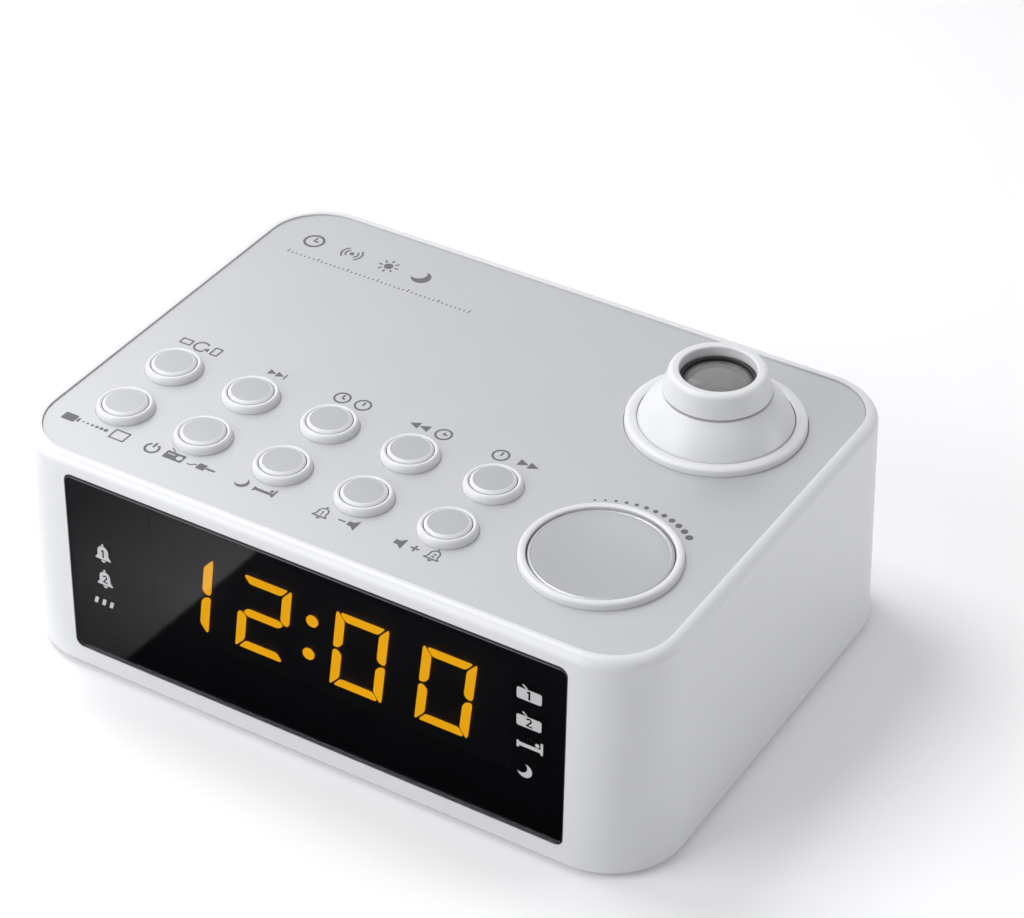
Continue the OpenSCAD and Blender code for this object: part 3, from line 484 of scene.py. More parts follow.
window_rings = [front_ring(shell, lip_r + x, window_r + lip_r + x, lip_r + y)
                for x, y in arc(0, 0, lip_r, -90, -180, 4)]
window_rings += [front_ring(shell, 0, window_r, window_seat),
                 front_ring(shell, -seat_ledge, window_r - 1, window_seat),
                 front_ring(shell, -seat_ledge, window_r - 1, wall * math.cos(draft))]
bridge(shell, window_rings)
fill(shell, side_edges(shell, outer[wall_foot], outer[wall_foot + 1], front_side)
     + ring_edges(shell, window_rings[0]))
fill(shell, side_edges(shell, inner[0], inner[1], front_side) + ring_edges(shell, window_rings[-1]))

outer_edges = side_edges(shell, outer[wall_foot], outer[wall_foot + 1], rear_side)
inner_edges = side_edges(shell, inner[0], inner[1], rear_side)
for hole in rear_holes:
    rings = [rear_ring(shell, hole, grow, depth)
             for grow, depth in ((0.3, 0), (0.09, 0.09), (0, 0.3), (0, wall))]
    bridge(shell, rings)
    outer_edges += ring_edges(shell, rings[0])
    inner_edges += ring_edges(shell, rings[-1])
fill(shell, outer_edges)
fill(shell, inner_edges)

deck_edges = ring_edges(shell, outer[-1])
under_edges = ring_edges(shell, inner[-1])
for place, r_in, width, height in collars:
    rings = [round_ring(shell, place, r, z) for r, z in collar_side(place, r_in, width, height)]
    bridge(shell, rings)
    deck_edges += ring_edges(shell, rings[0])
    under_edges += ring_edges(shell, rings[-1])
fill(shell, deck_edges)
fill(shell, under_edges)
make_piece("case_shell", shell, "cabinet_group", white_case, ["cabinet"])

# ---------------------------------------------------------------- Silver plate
# A thin plate with a satin silver lacquer, laid into the recess and glued. The collars stand
# up through its round holes. A fine dark gap shows round it.
collar_gap, ball_collar_gap = 0.04, 0.15
plate_edge = 0.1
plate_reach = 16.22

lacquer, given, ends = new_group(
    "lacquer",
    [("Colour", "Color", (0.7, 0.7, 0.7, 1)), ("Roughness", "Float", 0.4),
     ("Flakes per metre", "Float", 9000.0), ("Sparkle", "Float", 0.06)], skin_outputs)
where = add_node(lacquer, "ShaderNodeTexCoord").outputs["Object"]
flake = add_node(lacquer, "ShaderNodeTexVoronoi", feature="F1", Vector=where,
                 Scale=given["Flakes per metre"])
grey = add_node(lacquer, "ShaderNodeRGBToBW", flake.outputs["Color"]).outputs[0]
shine = maths(lacquer, "MULTIPLY_ADD", maths(lacquer, "SUBTRACT", grey, 0.5), given["Sparkle"], 1.0)
cloud = add_node(lacquer, "ShaderNodeTexNoise", Scale=55.0, Detail=3.0, Vector=where).outputs["Fac"]
give(lacquer, ends, Colour=scaled(lacquer, given["Colour"], shine),
     Roughness=maths(lacquer, "MULTIPLY_ADD", cloud, 0.05, given["Roughness"]), Height=cloud)

silver_plate = skin_material("silver_plate", (0.475, 0.48, 0.495), lacquer,
                             {"Roughness": 0.36, "Sparkle": 0.05}, Metallic=0.55)

plate = bmesh.new()
rings = [plan_ring(plate, plate_reach - shrink, z) for shrink, z in (
    (0, plate_under), (0, plate_top - plate_edge), (0.05, plate_top - 0.05), (plate_edge, plate_top))]
bridge(plate, rings)
top_edges, under_edges = ring_edges(plate, rings[-1]), ring_edges(plate, rings[0])
for place, r_in, width, height in collars:
    r = r_in + width + (ball_collar_gap if place == ball_place else collar_gap)
    rings = [round_ring(plate, place, r, plate_under), round_ring(plate, place, r, plate_top - 0.06),
             round_ring(plate, place, r + 0.06, plate_top)]
    bridge(plate, rings)
    top_edges += ring_edges(plate, rings[-1])
    under_edges += ring_edges(plate, rings[0])
fill(plate, top_edges)
fill(plate, under_edges)
make_piece("silver_top", plate, "cabinet_group", silver_plate, ["top_plate"])

# ---------------------------------------------------------------- Display
# A smoked acrylic pane with matt chamfers sits in the front wall. A black packing fills the gap above
# it; its black is painted shade that stands in for that gap's shadow. A paler strip along the pane's
# top edge is a painted highlight line. A black border is printed on the pane's back. Behind it are a
# black baffle and a cast block whose segments light up amber.
pane_front, pane_back = 0.05, 1.8
pane_gap, pane_top_gap = 0.06, 0.75
chamfer, chamfer_t = 0.12, 0.05


def pane_ring(bm, grow, depth):
    """An outline of the pane, which stands a little short of its opening's top."""
    half_h = (window_h - pane_gap - pane_top_gap) / 2 + grow
    ring = round_corner_ring(window_w / 2 - pane_gap + grow, half_h, window_r - pane_gap + grow, 10)
    return add_ring(bm, [on_front(x, depth, up - (pane_top_gap - pane_gap) / 2) for x, up in ring])


smoked_pane = moulded("smoked_pane", (0.22, 0.222, 0.235), grains=400.0, roughness=0.03, drift=0.02,
                      mottle=0.03, Transmission_Weight=1.0, IOR=1.46)
pane = bmesh.new()
rings = [pane_ring(pane, 0, pane_back), pane_ring(pane, 0, pane_front + chamfer + chamfer_t),
         pane_ring(pane, -chamfer - chamfer_t, pane_front)]
bridge(pane, rings)
fill(pane, ring_edges(pane, rings[0]))
fill(pane, ring_edges(pane, rings[-1]))
make_piece("window_pane", pane, "cabinet_group", smoked_pane, ["display_window"])

sawn_edge = moulded("sawn_edge", (0.06, 0.061, 0.066), grains=5000.0, roughness=0.55, drift=0.15,
                    mottle=0.25, bump=0.01)
strip = bmesh.new()
rings = [pane_ring(strip, grow, pane_front + depth) for grow, depth in (
    (0, chamfer), (-chamfer, 0), (-chamfer - chamfer_t, 0), (0, chamfer + chamfer_t))]
bridge(strip, rings + rings[:1])
make_piece("pane_chamfer", strip, "cabinet_group", sawn_edge)


def paint(node, material):
    """Gives a CAD solid whose shape is right its finish."""
    solid = frame["nodes"][node]
    if not solid.material_slots:
        solid.data.materials.append(material)
    for held in solid.material_slots:
        held.material = material


# Paler than the chamfer: this colour is a painted highlight on the pane's top edge.
pane_edge_highlight = moulded("pane_edge_highlight", (0.13, 0.132, 0.14), grains=5000.0, roughness=0.4, drift=0.1, mottle=0.2,
                   bump=0.005)
black_plastic = moulded("black_plastic", (0.018, 0.018, 0.02), grains=2200.0, roughness=0.5, drift=0.1,
                        mottle=0.2, bump=0.006)
# The packing fills the gap above the pane. Its black is painted shade that stands in for that gap's
# shadow.
gap_shade_packing = bmesh.new()
rings = [front_ring(gap_shade_packing, -0.02, window_r - 0.02, 0.22), pane_ring(gap_shade_packing, 0.02, 0.22),
         pane_ring(gap_shade_packing, 0.02, pane_back), front_ring(gap_shade_packing, -0.02, window_r - 0.02, pane_back)]
bridge(gap_shade_packing, rings + rings[:1])
make_piece("pane_packing", gap_shade_packing, "cabinet_group", black_plastic)
# A thin strip on the pane's top edge in that paler colour paints the highlight line.
highlight_strip = bmesh.new()
highlight_up, highlight_x = window_h / 2 - pane_top_gap, window_w / 2 - 2.2
highlight_outline = [(-highlight_x, highlight_up - 0.28), (highlight_x, highlight_up - 0.28), (highlight_x, highlight_up - 0.02),
             (-highlight_x, highlight_up - 0.02)]
rings = [add_ring(highlight_strip, [on_front(x, depth, up) for x, up in highlight_outline])
         for depth in (0.3, pane_front - 0.01)]
bridge(highlight_strip, rings)
for ring in rings:
    highlight_strip.faces.new(ring)
make_piece("pane_top_edge", highlight_strip, "cabinet_group", pane_edge_highlight)
border = bmesh.new()
rings = [front_ring(border, -grow, window_r - min(grow, 1.4), pane_back + deep)
         for grow, deep in ((pane_gap, 0.005), (3.0, 0.005), (3.0, 0.035), (pane_gap, 0.035))]
bridge(border, rings + rings[:1])
make_piece("pane_border", border, "cabinet_group", black_plastic)

digit_face = moulded("digit_face", (0.045, 0.045, 0.05), grains=3000.0, roughness=0.4, drift=0.1,
                     mottle=0.15, bump=0.004)
dark_segment = moulded("dark_segment", (0.048, 0.045, 0.046), grains=3000.0, roughness=0.35, drift=0.1,
                       mottle=0.2, bump=0.003)
paint("display_bezel", black_plastic)
paint("digit_block", digit_face)

amber_light = bpy.data.materials.new("amber_light")
amber_light.use_nodes = True
tree = amber_light.node_tree
shader = tree.nodes["Principled BSDF"]
shader.inputs["Base Color"].default_value = (0.25, 0.11, 0.02, 1)
shader.inputs["Roughness"].default_value = 0.4
shader.inputs["Emission Strength"].default_value = 3.9
glow = add_node(tree, "ShaderNodeGroup", node_tree=moulded_skin, Colour=(1.0, 0.46, 0.004, 1),
                Mottle=0.12)
give(tree, shader.inputs, **{"Emission Color": glow.outputs["Colour"]})

digit_w, digit_h, digit_lean = 15.8, 24.1, math.tan(math.radians(6.3))
digit_foot = 28.65 - window_z
segment_w, bar_h, segment_gap, middle_gap = 2.6, 2.3, 0.4, 0.55
segment_deep, segment_t, colon_r = 2.5, 0.35, 1.75


def segment_lines():
    """Outlines of the seven segments of an upright digit, a to g."""
    w, h, s, b, e, f, m = digit_w, digit_h, segment_w, bar_h, segment_gap, middle_gap, digit_h / 2
    c, n = segment_w * 0.45, segment_w * 0.3
    top = [(n + e, h), (w - n - e, h), (w - s - e, h - b), (s + e, h - b)]
    high = [(w - n + e, h), (w - 0.13, h - 0.15), (w, h - 0.6), (w, m + f), (w - s + c, m + f),
            (w - s, m + c + f), (w - s, h - b - e)]
    low = [(x, h - y) for x, y in high]
    bar = [(s / 2 + e, m), (s + e, m + b / 2), (w - s - e, m + b / 2), (w - s / 2 - e, m),
           (w - s - e, m - b / 2), (s + e, m - b / 2)]
    return [top, high, low, [(x, h - y) for x, y in top], [(w - x, y) for x, y in low],
            [(w - x, y) for x, y in high], bar]


def eased(line):
    """A closed line with its corners rounded off."""
    r = 0.8
    smooth = []
    for k, corner in enumerate(line):
        here = Vector(corner)
        to_last, to_next = Vector(line[k - 1]) - here, Vector(line[(k + 1) % len(line)]) - here
        a = here + to_last.normalized() * min(r, to_last.length * 0.45)
        b = here + to_next.normalized() * min(r, to_next.length * 0.45)
        smooth += [a * (1 - t) ** 2 + here * 2 * t * (1 - t) + b * t ** 2
                   for t in (0, 0.25, 0.5, 0.75, 1)]
    return [tuple(p) for p in smooth]


segment_faces = {True: [], False: []}
for digit_x, lit in ((-48.6, "bc"), (-24.0, "abdeg"), (5.6, "abcdef"), (31.6, "abcdef")):
    for letter, line in zip("abcdefg", segment_lines()):
        leaning = [(digit_x + x + y * digit_lean, digit_foot + y) for x, y in eased(line)]
        segment_faces[letter in lit].append(leaning)
segment_faces[True] += [arc(x, up - window_z, colon_r, 0, 360, 32)[:-1]
                        for x, up in ((-0.8, 35.15), (0.6, 46.25))]
for lit, name, material, slot in ((True, "lit_segments", amber_light, "lit_amber"),
                                  (False, "unlit_segments", dark_segment, "unlit_segment")):
    bm = bmesh.new()
    for line in segment_faces[lit]:
        rings = [add_ring(bm, [on_front(x, depth, up) for x, up in line])
                 for depth in (segment_deep, segment_deep - segment_t)]
        bridge(bm, rings)
        for ring in rings:
            bm.faces.new(ring)
    make_piece("cast_" + name, bm, "cabinet_group", material, [name])

# ---------------------------------------------------------------- Turned parts
# Caps, sleeves, lenses and cells are round, as turned tools leave them. One tree bends a grid round
# the axis so that its rows follow an outline, welds the seam and sets the result at each place.


def new_tree(name, inputs):
    """A geometry tree with the inputs that are its own besides the geometry it works on."""
    shape = [("Geometry", "Geometry", None)]
    return new_group(name, shape + inputs, shape, "Geometry")


def placed(tree, part, places, spin=None):
    """Instances of a part at the points of the places, each turned by its point's turn."""
    way = add_node(tree, "GeometryNodeInputNamedAttribute", data_type="FLOAT_VECTOR", Name="turn")
    euler = add_node(tree, "FunctionNodeEulerToRotation", way.outputs["Attribute"])
    stands = add_node(tree, "GeometryNodeInstanceOnPoints", Points=places, Instance=part,
                      Rotation=euler.outputs[0])
    if spin is None:
        return stands.outputs[0]
    own = add_node(tree, "FunctionNodeEulerToRotation",
                   add_node(tree, "ShaderNodeCombineXYZ", Z=spin).outputs[0])
    spun = add_node(tree, "GeometryNodeRotateInstances", Instances=stands.outputs[0],
                    Rotation=own.outputs[0])
    return spun.outputs[0]


def end_tree(tree, given, ends, geometry):
    """Closes a tree with real geometry and its material."""
    real = add_node(tree, "GeometryNodeRealizeInstances", geometry)
    coat = add_node(tree, "GeometryNodeSetMaterial", real.outputs[0], Material=given["Material"])
    give(tree, ends, Geometry=coat.outputs[0])


def points_object(name, points, turns=None, edges=()):
    """A mesh of loose points or of a line, in millimetres, that a tree works on."""
    mesh = bpy.data.meshes.new(name)
    mesh.from_pydata([[c * MM for c in p] for p in points], edges, [])
    turn = mesh.attributes.new("turn", "FLOAT_VECTOR", "POINT")
    for k, way in enumerate(turns or ()):
        turn.data[k].vector = way
    stand = bpy.data.objects.new(name, mesh)
    scene.collection.objects.link(stand)
    return stand


def grow(tree, source, settings, helpers=()):
    """Runs a tree on an object and gives back the plain mesh that it makes."""
    step = source.modifiers.new("make", "NODES")
    step.node_group = tree
    for item in tree.interface.items_tree:
        if item.item_type == "SOCKET" and item.in_out == "INPUT" and item.name in settings:
            step[item.identifier] = settings[item.name]
    ready = source.evaluated_get(bpy.context.evaluated_depsgraph_get())
    mesh = bpy.data.meshes.new_from_object(ready)
    source.modifiers.remove(step)
    for used in (source, *helpers):
        bpy.data.objects.remove(used)
    bm = bmesh.new()
    bm.from_mesh(mesh)
    bmesh.ops.recalc_face_normals(bm, faces=bm.faces)
    bm.to_mesh(mesh)
    bm.free()
    return mesh


turned_part, given, ends = new_tree("turned_part", [
    ("Places", "Object", None), ("Steps", "Int", 96), ("Material", "Material", None)])
counted = add_node(turned_part, "GeometryNodeAttributeDomainSize", given["Geometry"])
rows = counted.outputs["Point Count"]
columns = maths(turned_part, "ADD", given["Steps"], 1)
grid = add_node(turned_part, "GeometryNodeMeshGrid", Vertices_X=columns, Vertices_Y=rows)
number = add_node(turned_part, "GeometryNodeInputIndex").outputs[0]
row = maths(turned_part, "MODULO", number, rows)
column = maths(turned_part, "FLOOR", maths(turned_part, "DIVIDE", number, rows))
share = maths(turned_part, "DIVIDE", column, given["Steps"])
angle = maths(turned_part, "MULTIPLY", share, 2 * math.pi)
there = add_node(turned_part, "GeometryNodeInputPosition")
read = add_node(turned_part, "GeometryNodeSampleIndex", data_type="FLOAT_VECTOR",
                Geometry=given["Geometry"], Value=there.outputs[0], Index=row)
radius, _, height = add_node(turned_part, "ShaderNodeSeparateXYZ", read.outputs[0]).outputs
across, along = [maths(turned_part, "MULTIPLY", radius, maths(turned_part, wave, angle))
                 for wave in ("COSINE", "SINE")]
bent = add_node(turned_part, "ShaderNodeCombineXYZ", across, along, height)
moved = add_node(turned_part, "GeometryNodeSetPosition", grid.outputs["Mesh"], Position=bent.outputs[0])
welded = add_node(turned_part, "GeometryNodeMergeByDistance", moved.outputs[0], Distance=1e-06)
stands = add_node(turned_part, "GeometryNodeObjectInfo", Object=given["Places"])
end_tree(turned_part, given, ends, placed(turned_part, welded.outputs[0], stands.outputs["Geometry"]))


def turned(name, outline, material, places=((0, 0, 0),), turns=None, steps=96):
    """The mesh of a lathe shape with an outline of (radius, height) points, at each place."""
    line = points_object(name, [(r, 0, z) for r, z in outline])
    stand = points_object("places", places, turns)
    return grow(turned_part, line, {"Places": stand, "Steps": steps, "Material": material}, [stand])


def turned_piece(name, outline, material, body, stands_for=(), places=((0, 0, 0),), turns=None,
                 steps=96, sharp=38):
    """A piece that is one lathe shape, or the same one at several places."""
    mesh = turned(name, outline, material, places, turns, steps)
    return finish_piece(name, mesh, body, material, stands_for, sharp)


def closed(outline):
    """An outline that goes right round, as a shape with a hole through it needs."""
    return outline + outline[:1]


def sleeve_line(r_in, r_out, low, high):
    """The outline of a plain ring or sleeve."""
    return closed([(r_in, low), (r_out, low), (r_out, high), (r_in, high)])


def joined(name, meshes):
    """One mesh out of several."""
    bm = bmesh.new()
    for mesh in meshes:
        bm.from_mesh(mesh)
        bpy.data.meshes.remove(mesh)
    return to_mesh(name, bm)


# ---------------------------------------------------------------- Case posts
# Moulded under the deck: four posts for the case screws, four for the key board's screws, and
# the ring wall that the projector's carrier turns in.
screw_posts = [(x, y) for x in (-86.0, 86.0) for y in (-58.5, 58.5)]
key_board_posts = [(-63.5, -32.8), (-12.7, -32.8), (40.0, -13.0), (40.0, -53.0)]
key_board_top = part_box("key_board")[1].z / MM
base_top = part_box("base_cover")[0].z / MM + 2.4
post_deep = deck_under + 0.5


def post_outline(r, hole_r, low, high, deep):
    """A post with a blind hole from below."""
    return [(0, low + deep), (hole_r, low + deep), (hole_r, low), (r, low), (r + 0.15, high - 1.5),
            (r + 1.0, high), (0, high)]


swivel_in, swivel_out, swivel_low = 27.56, 30.0, 57.9
posts = [
    turned("posts", post_outline(3.5, 1.3, base_top, post_deep, 12), white_case,
           [(x, y, 0) for x, y in screw_posts], steps=40),
    turned("posts", post_outline(3.0, 1.1, key_board_top, post_deep, 7), white_case,
           [(x, y, 0) for x, y in key_board_posts], steps=40),
    turned("boss", sleeve_line(swivel_in, swivel_out, swivel_low, post_deep), white_case,
           [(*ball_place, 0)], steps=120)]
finish_piece("case_posts", joined("case_posts", posts), "cabinet_group", white_case,
             ["cabinet"])

# ---------------------------------------------------------------- Small keys
# Ten caps moulded in the case's white, each with a bevelled rim, a flange that keeps it under
# the deck, and a stem over its switch. Only the flat top is lacquered silver.
key_names = ["rotate_key", "memory_key", "clock_set_key", "hour_key", "minute_key",
             "projection_key", "power_key", "sleep_key", "volume_down_key", "volume_up_key"]
key_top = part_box("rotate_key")[1].z / MM
stem_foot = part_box("rotate_key")[0].z / MM
key_r, disc_r = 6.17, 5.35
flange_low, flange_high = deck_under - 1.5, deck_under - 0.3
flange_r, cap_in, stem_r = 7.5, 4.6, 1.6

key_silver = skin_material("key_silver", (0.42, 0.425, 0.435), lacquer,
                           {"Roughness": 0.30, "Sparkle": 0.05}, Metallic=0.6)
cap_outline = [(0, key_top - 0.012), (disc_r, key_top - 0.012), (disc_r + 0.10, key_top - 0.05),
               (key_r - 0.12, key_top - 0.46), (key_r - 0.03, key_top - 0.58), (key_r, key_top - 0.75),
               (key_r, flange_high + 0.2), (key_r + 0.2, flange_high), (flange_r - 0.1, flange_high),
               (flange_r, flange_high - 0.1), (flange_r, flange_low), (cap_in, flange_low),
               (cap_in, key_top - 1.5), (stem_r, key_top - 1.5), (stem_r, stem_foot + 0.3),
               (stem_r - 0.3, stem_foot), (0, stem_foot)]
disc_outline = [(0, key_top), (disc_r - 0.06, key_top), (disc_r, key_top - 0.02),
                (disc_r, key_top - 0.03), (0, key_top - 0.03)]
for key_name, place in zip(key_names, key_places):
    turned_piece(key_name.replace("key", "cap"), cap_outline, white_case, key_name,
                 [key_name], places=[(*place, 0)], sharp=25)
    turned_piece(key_name.replace("key", "disc"), disc_outline, key_silver, key_name,
                 places=[(*place, 0)], sharp=25)

# ---------------------------------------------------------------- Snooze key
# One big round cap of the same lacquered plastic. Its top is dished for a fingertip inside a
# narrow raised rim.
snooze_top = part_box("snooze_key")[1].z / MM
snooze_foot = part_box("snooze_key")[0].z / MM
snooze_r, dish_r, dish_deep = 18.65, 17.5, 0.9
dish_ball = (dish_r ** 2 + dish_deep ** 2) / (2 * dish_deep)
snooze_outline = [(dish_r * k / 14, snooze_top - dish_deep + (dish_r * k / 14) ** 2 / (2 * dish_ball))
                  for k in range(14)]
snooze_outline += [(dish_r - 0.08, snooze_top - 0.10), (dish_r + 0.03, snooze_top - 0.02),
                   (dish_r + 0.12, snooze_top)]
snooze_outline += arc(snooze_r - 0.7, snooze_top - 0.7, 0.7, 88, 0, 8)
snooze_outline += [(snooze_r, flange_high), (19.9, flange_high), (20.0, flange_high - 0.1),
                   (20.0, flange_low), (16.4, flange_low), (16.4, snooze_top - 2.9),
                   (2.2, snooze_top - 2.9), (2.2, snooze_foot + 0.3), (1.9, snooze_foot),
                   (0, snooze_foot)]
turned_piece("snooze_cap", snooze_outline, key_silver, "snooze_key", ["snooze_key"],
             places=[(*snooze_place, 0)], steps=144, sharp=25)

# ---------------------------------------------------------------- Projector ball
# A white moulded shell in the deck's socket. It is flat on top around a neck, and inside it
# has two bosses for the pins that it tilts on.
ball_z, ball_r, ball_wall = 61.45, 22.65, 1.8
ball_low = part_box("projector_ball")[0].z / MM
ball_cut = plate_top + 10.2
neck_in, neck_out, neck_low, neck_top = 9.96, 11.6, 70.0, 81.0
groove = 79.7


def ball_arc(r, z_from, z_to, steps):
    """Points on a sphere about the ball's centre, between two heights."""
    start = math.degrees(math.asin((z_from - ball_z) / r))
    end = math.degrees(math.asin((z_to - ball_z) / r))
    return [(x, ball_z + z) for x, z in arc(0, 0, r, start, end, steps)]


shell_line = ball_arc(ball_r, ball_low, ball_cut - 0.34, 40)
shell_line += [(shell_line[-1][0] - 0.12, ball_cut - 0.14), (shell_line[-1][0] - 0.34, ball_cut - 0.03),
               (shell_line[-1][0] - 0.55, ball_cut),
               (neck_out, ball_cut), (neck_out, groove), (neck_out - 0.4, groove),
               (neck_out - 0.4, groove + 0.8), (neck_out, groove + 0.8), (neck_out, neck_top - 0.2),
               (neck_out - 0.2, neck_top), (neck_in, neck_top), (neck_in, neck_low),
               (neck_out, neck_low), (neck_out, ball_cut - ball_wall)]
shell_line += ball_arc(ball_r - ball_wall, ball_cut - ball_wall, ball_low, 24)
pin_r, boss_r, boss_start, boss_end = 1.5, 3.0, 16.4, 20.75
across = [(0, math.pi / 2, 0), (0, -math.pi / 2, 0)]
ball_axis, ball_centre = [(*ball_place, 0)], (*ball_place, ball_z)
ball_meshes = [turned("ball", closed(shell_line), white_case, ball_axis, steps=160),
               turned("pin_bosses", sleeve_line(pin_r, boss_r, boss_start, boss_end), white_case,
                      [ball_centre] * 2, across, steps=32)]
finish_piece("ball_shell", joined("ball_shell", ball_meshes), "projector", white_case,
             ["projector_ball"])

# ---------------------------------------------------------------- Focus barrel
# A white sleeve that turns on the neck, with a bead in the neck's groove. Its side tapers up
# to a thick round lip.
barrel_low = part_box("focus_barrel")[0].z / MM
barrel_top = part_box("focus_barrel")[1].z / MM
foot_r, lip_out, lip_in = 14.55, 13.3, 10.3
lip, lip_edge = (lip_out - lip_in) / 2, 0.55
shelf = 82.6
foot_z = barrel_low + 0.03
barrel_line = [(neck_out + 0.06, barrel_low), (foot_r - 1.2, barrel_low), (foot_r - 1.0, foot_z),
               (foot_r - 0.5, foot_z), (foot_r - 0.24, foot_z + 0.07), (foot_r - 0.07, foot_z + 0.24),
               (foot_r - 0.01, foot_z + 0.5)]
barrel_line += arc(lip_in + lip, barrel_top - lip, lip, 14, 88, 14)
barrel_line += arc(lip_in + lip_edge, barrel_top - lip_edge, lip_edge, 90, 180, 10)
barrel_line += [(lip_in, shelf + 0.2), (lip_in + 0.2, shelf), (neck_out + 0.06, shelf),
                (neck_out + 0.06, groove + 0.6), (neck_out - 0.33, groove + 0.6),
                (neck_out - 0.33, groove + 0.2), (neck_out + 0.06, groove + 0.2)]
turned_piece("barrel_sleeve", closed(barrel_line), white_case, "focus_ring",
             ["focus_barrel"], ball_axis, steps=144)

# ---------------------------------------------------------------- Lens and its cell
# A clear plano-convex lens is held by a black cell, which slides in the neck as the
# barrel turns.
cell_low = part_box("lens_cell")[0].z / MM
cell_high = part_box("lens_cell")[1].z / MM
lens_seat = cell_high - 2.0
lens_r, lens_edge, lens_rise = 9.2, 0.9, 1.9
cell_line = [(8.4, cell_low), (9.9, cell_low), (9.9, cell_high - 0.15), (9.75, cell_high),
             (9.42, cell_high), (9.3, cell_high - 0.12), (9.3, lens_seat), (8.4, lens_seat)]
turned_piece("cell_ring", closed(cell_line), black_plastic, "lens_slide",
             ["lens_cell"], ball_axis, steps=120)

clear_glass = moulded("clear_glass", (0.52, 0.52, 0.53), grains=60.0, roughness=0.03, drift=0.02,
                      mottle=0.01, Transmission_Weight=0.72, IOR=1.52)


def lens_outline(r, edge, rise, flat_z):
    """Flat below, convex above."""
    ball = (r * r + rise * rise) / (2 * rise)
    dome = [(r * k / 16, flat_z + edge + rise - ball + math.sqrt(ball ** 2 - (r * k / 16) ** 2))
            for k in range(16, -1, -1)]
    return [(0, flat_z), (r - 0.1, flat_z), (r, flat_z + 0.1)] + dome


turned_piece("lens_glass", lens_outline(lens_r, lens_edge, lens_rise, lens_seat), clear_glass,
             "lens_slide", ["objective_lens"], ball_axis, steps=120)

# ---------------------------------------------------------------- Projector optics
# Under the lens a black tube hangs in the ball. It carries a lamp on a small board, a condenser
# and the dark glass whose clear digits are thrown on the wall.
tube_in, tube_out, tube_low = 9.0, 10.9, 44.0
tube_line = [(tube_in, tube_low), (tube_out, tube_low), (tube_out, neck_low),
             (neck_in - 0.02, neck_low), (neck_in - 0.02, neck_low + 2.4), (8.6, neck_low + 2.4),
             (8.6, 64), (tube_in, 64), (tube_in, 62), (7.8, 62), (7.8, 61), (tube_in, 61),
             (tube_in, 54), (7.8, 54), (7.8, 53), (tube_in, 53)]
turned_piece("optics_tube", closed(tube_line), black_plastic, "projector",
             ["lamp_tube"], ball_axis)
turned_piece("condenser_glass", lens_outline(8.9, 1.0, 3.0, 54.0), clear_glass, "projector",
             ["condenser_lens"], ball_axis)

dark_glass = moulded("dark_glass", (0.05, 0.05, 0.06), grains=300.0, roughness=0.08, drift=0.03,
                     mottle=0.1)
paint("projector_glass", dark_glass)

red_epoxy = moulded("red_epoxy", (0.42, 0.02, 0.02), grains=500.0, roughness=0.12, drift=0.05,
                    mottle=0.1)
lamp_line = [(0, tube_low), (2.9, tube_low), (2.9, tube_low + 1), (2.5, tube_low + 1.05)]
lamp_line += arc(0, tube_low + 6, 2.5, 0, 90, 10)
turned_piece("projector_diode", lamp_line, red_epoxy, "projector", ["projector_lamp"],
             ball_axis, steps=40)


# Bare metal: clouds of tarnish and fine rubbed lines change how sharply it shines.
bare_metal, given, ends = new_group(
    "bare_metal",
    [("Colour", "Color", (0.6, 0.6, 0.6, 1)), ("Roughness", "Float", 0.3), ("Drift", "Float", 0.15),
     ("Tarnish", "Float", 0.15)], skin_outputs)
where = add_node(bare_metal, "ShaderNodeTexCoord").outputs["Object"]
clouds = add_node(bare_metal, "ShaderNodeTexNoise", Scale=220.0, Detail=4.0,
                  Vector=where).outputs["Fac"]
drawn = add_node(bare_metal, "ShaderNodeMapping", Scale=(150.0, 4200.0, 4200.0), Vector=where)
lines = add_node(bare_metal, "ShaderNodeTexNoise", Scale=1.0, Detail=2.0,
                 Vector=drawn.outputs[0]).outputs["Fac"]
centred = maths(bare_metal, "SUBTRACT", maths(bare_metal, "ADD", clouds, lines), 1.0)
rough = maths(bare_metal, "MULTIPLY_ADD", centred, given["Drift"], given["Roughness"])
tone = maths(bare_metal, "MULTIPLY_ADD", centred, given["Tarnish"], 1.0)
give(bare_metal, ends, Colour=scaled(bare_metal, given["Colour"], tone), Roughness=rough,
     Height=lines)

steel = skin_material("steel", (0.50, 0.50, 0.51), bare_metal,
                      {"Roughness": 0.30, "Drift": 0.25, "Tarnish": 0.3}, bump=0.004, Metallic=1.0)
paint("trunnion_pins", steel)
paint("wave_washer", steel)


def eased_copy(node, piece_name, material, ease=0.25):
    """A merged copy of a CAD solid with its sharp edges eased, as its mould leaves them."""
    sharp = math.radians(30)
    solid = frame["nodes"][node]
    bm = bmesh.new()
    bm.from_mesh(solid.data)
    bmesh.ops.remove_doubles(bm, verts=bm.verts, dist=2e-6)
    bmesh.ops.dissolve_limit(bm, angle_limit=math.radians(0.5), verts=bm.verts, edges=bm.edges)
    corners = [e for e in bm.edges
               if len(e.link_faces) == 2 and e.calc_face_angle(0.0) > sharp]
    bmesh.ops.bevel(bm, geom=corners, offset=ease * MM, offset_type="OFFSET", segments=2,
                    profile=0.6, affect="EDGES", clamp_overlap=True)
    bmesh.ops.triangulate(bm, faces=[f for f in bm.faces if len(f.verts) > 4])
    mesh = to_mesh(piece_name, bm)
    return finish_piece(piece_name, mesh, body_of(solid)[0], material, [node], sharp=40)


eased_copy("swivel_carrier", "carrier_ring", black_plastic)
eased_copy("retainer_ring", "retainer_plate", black_plastic)

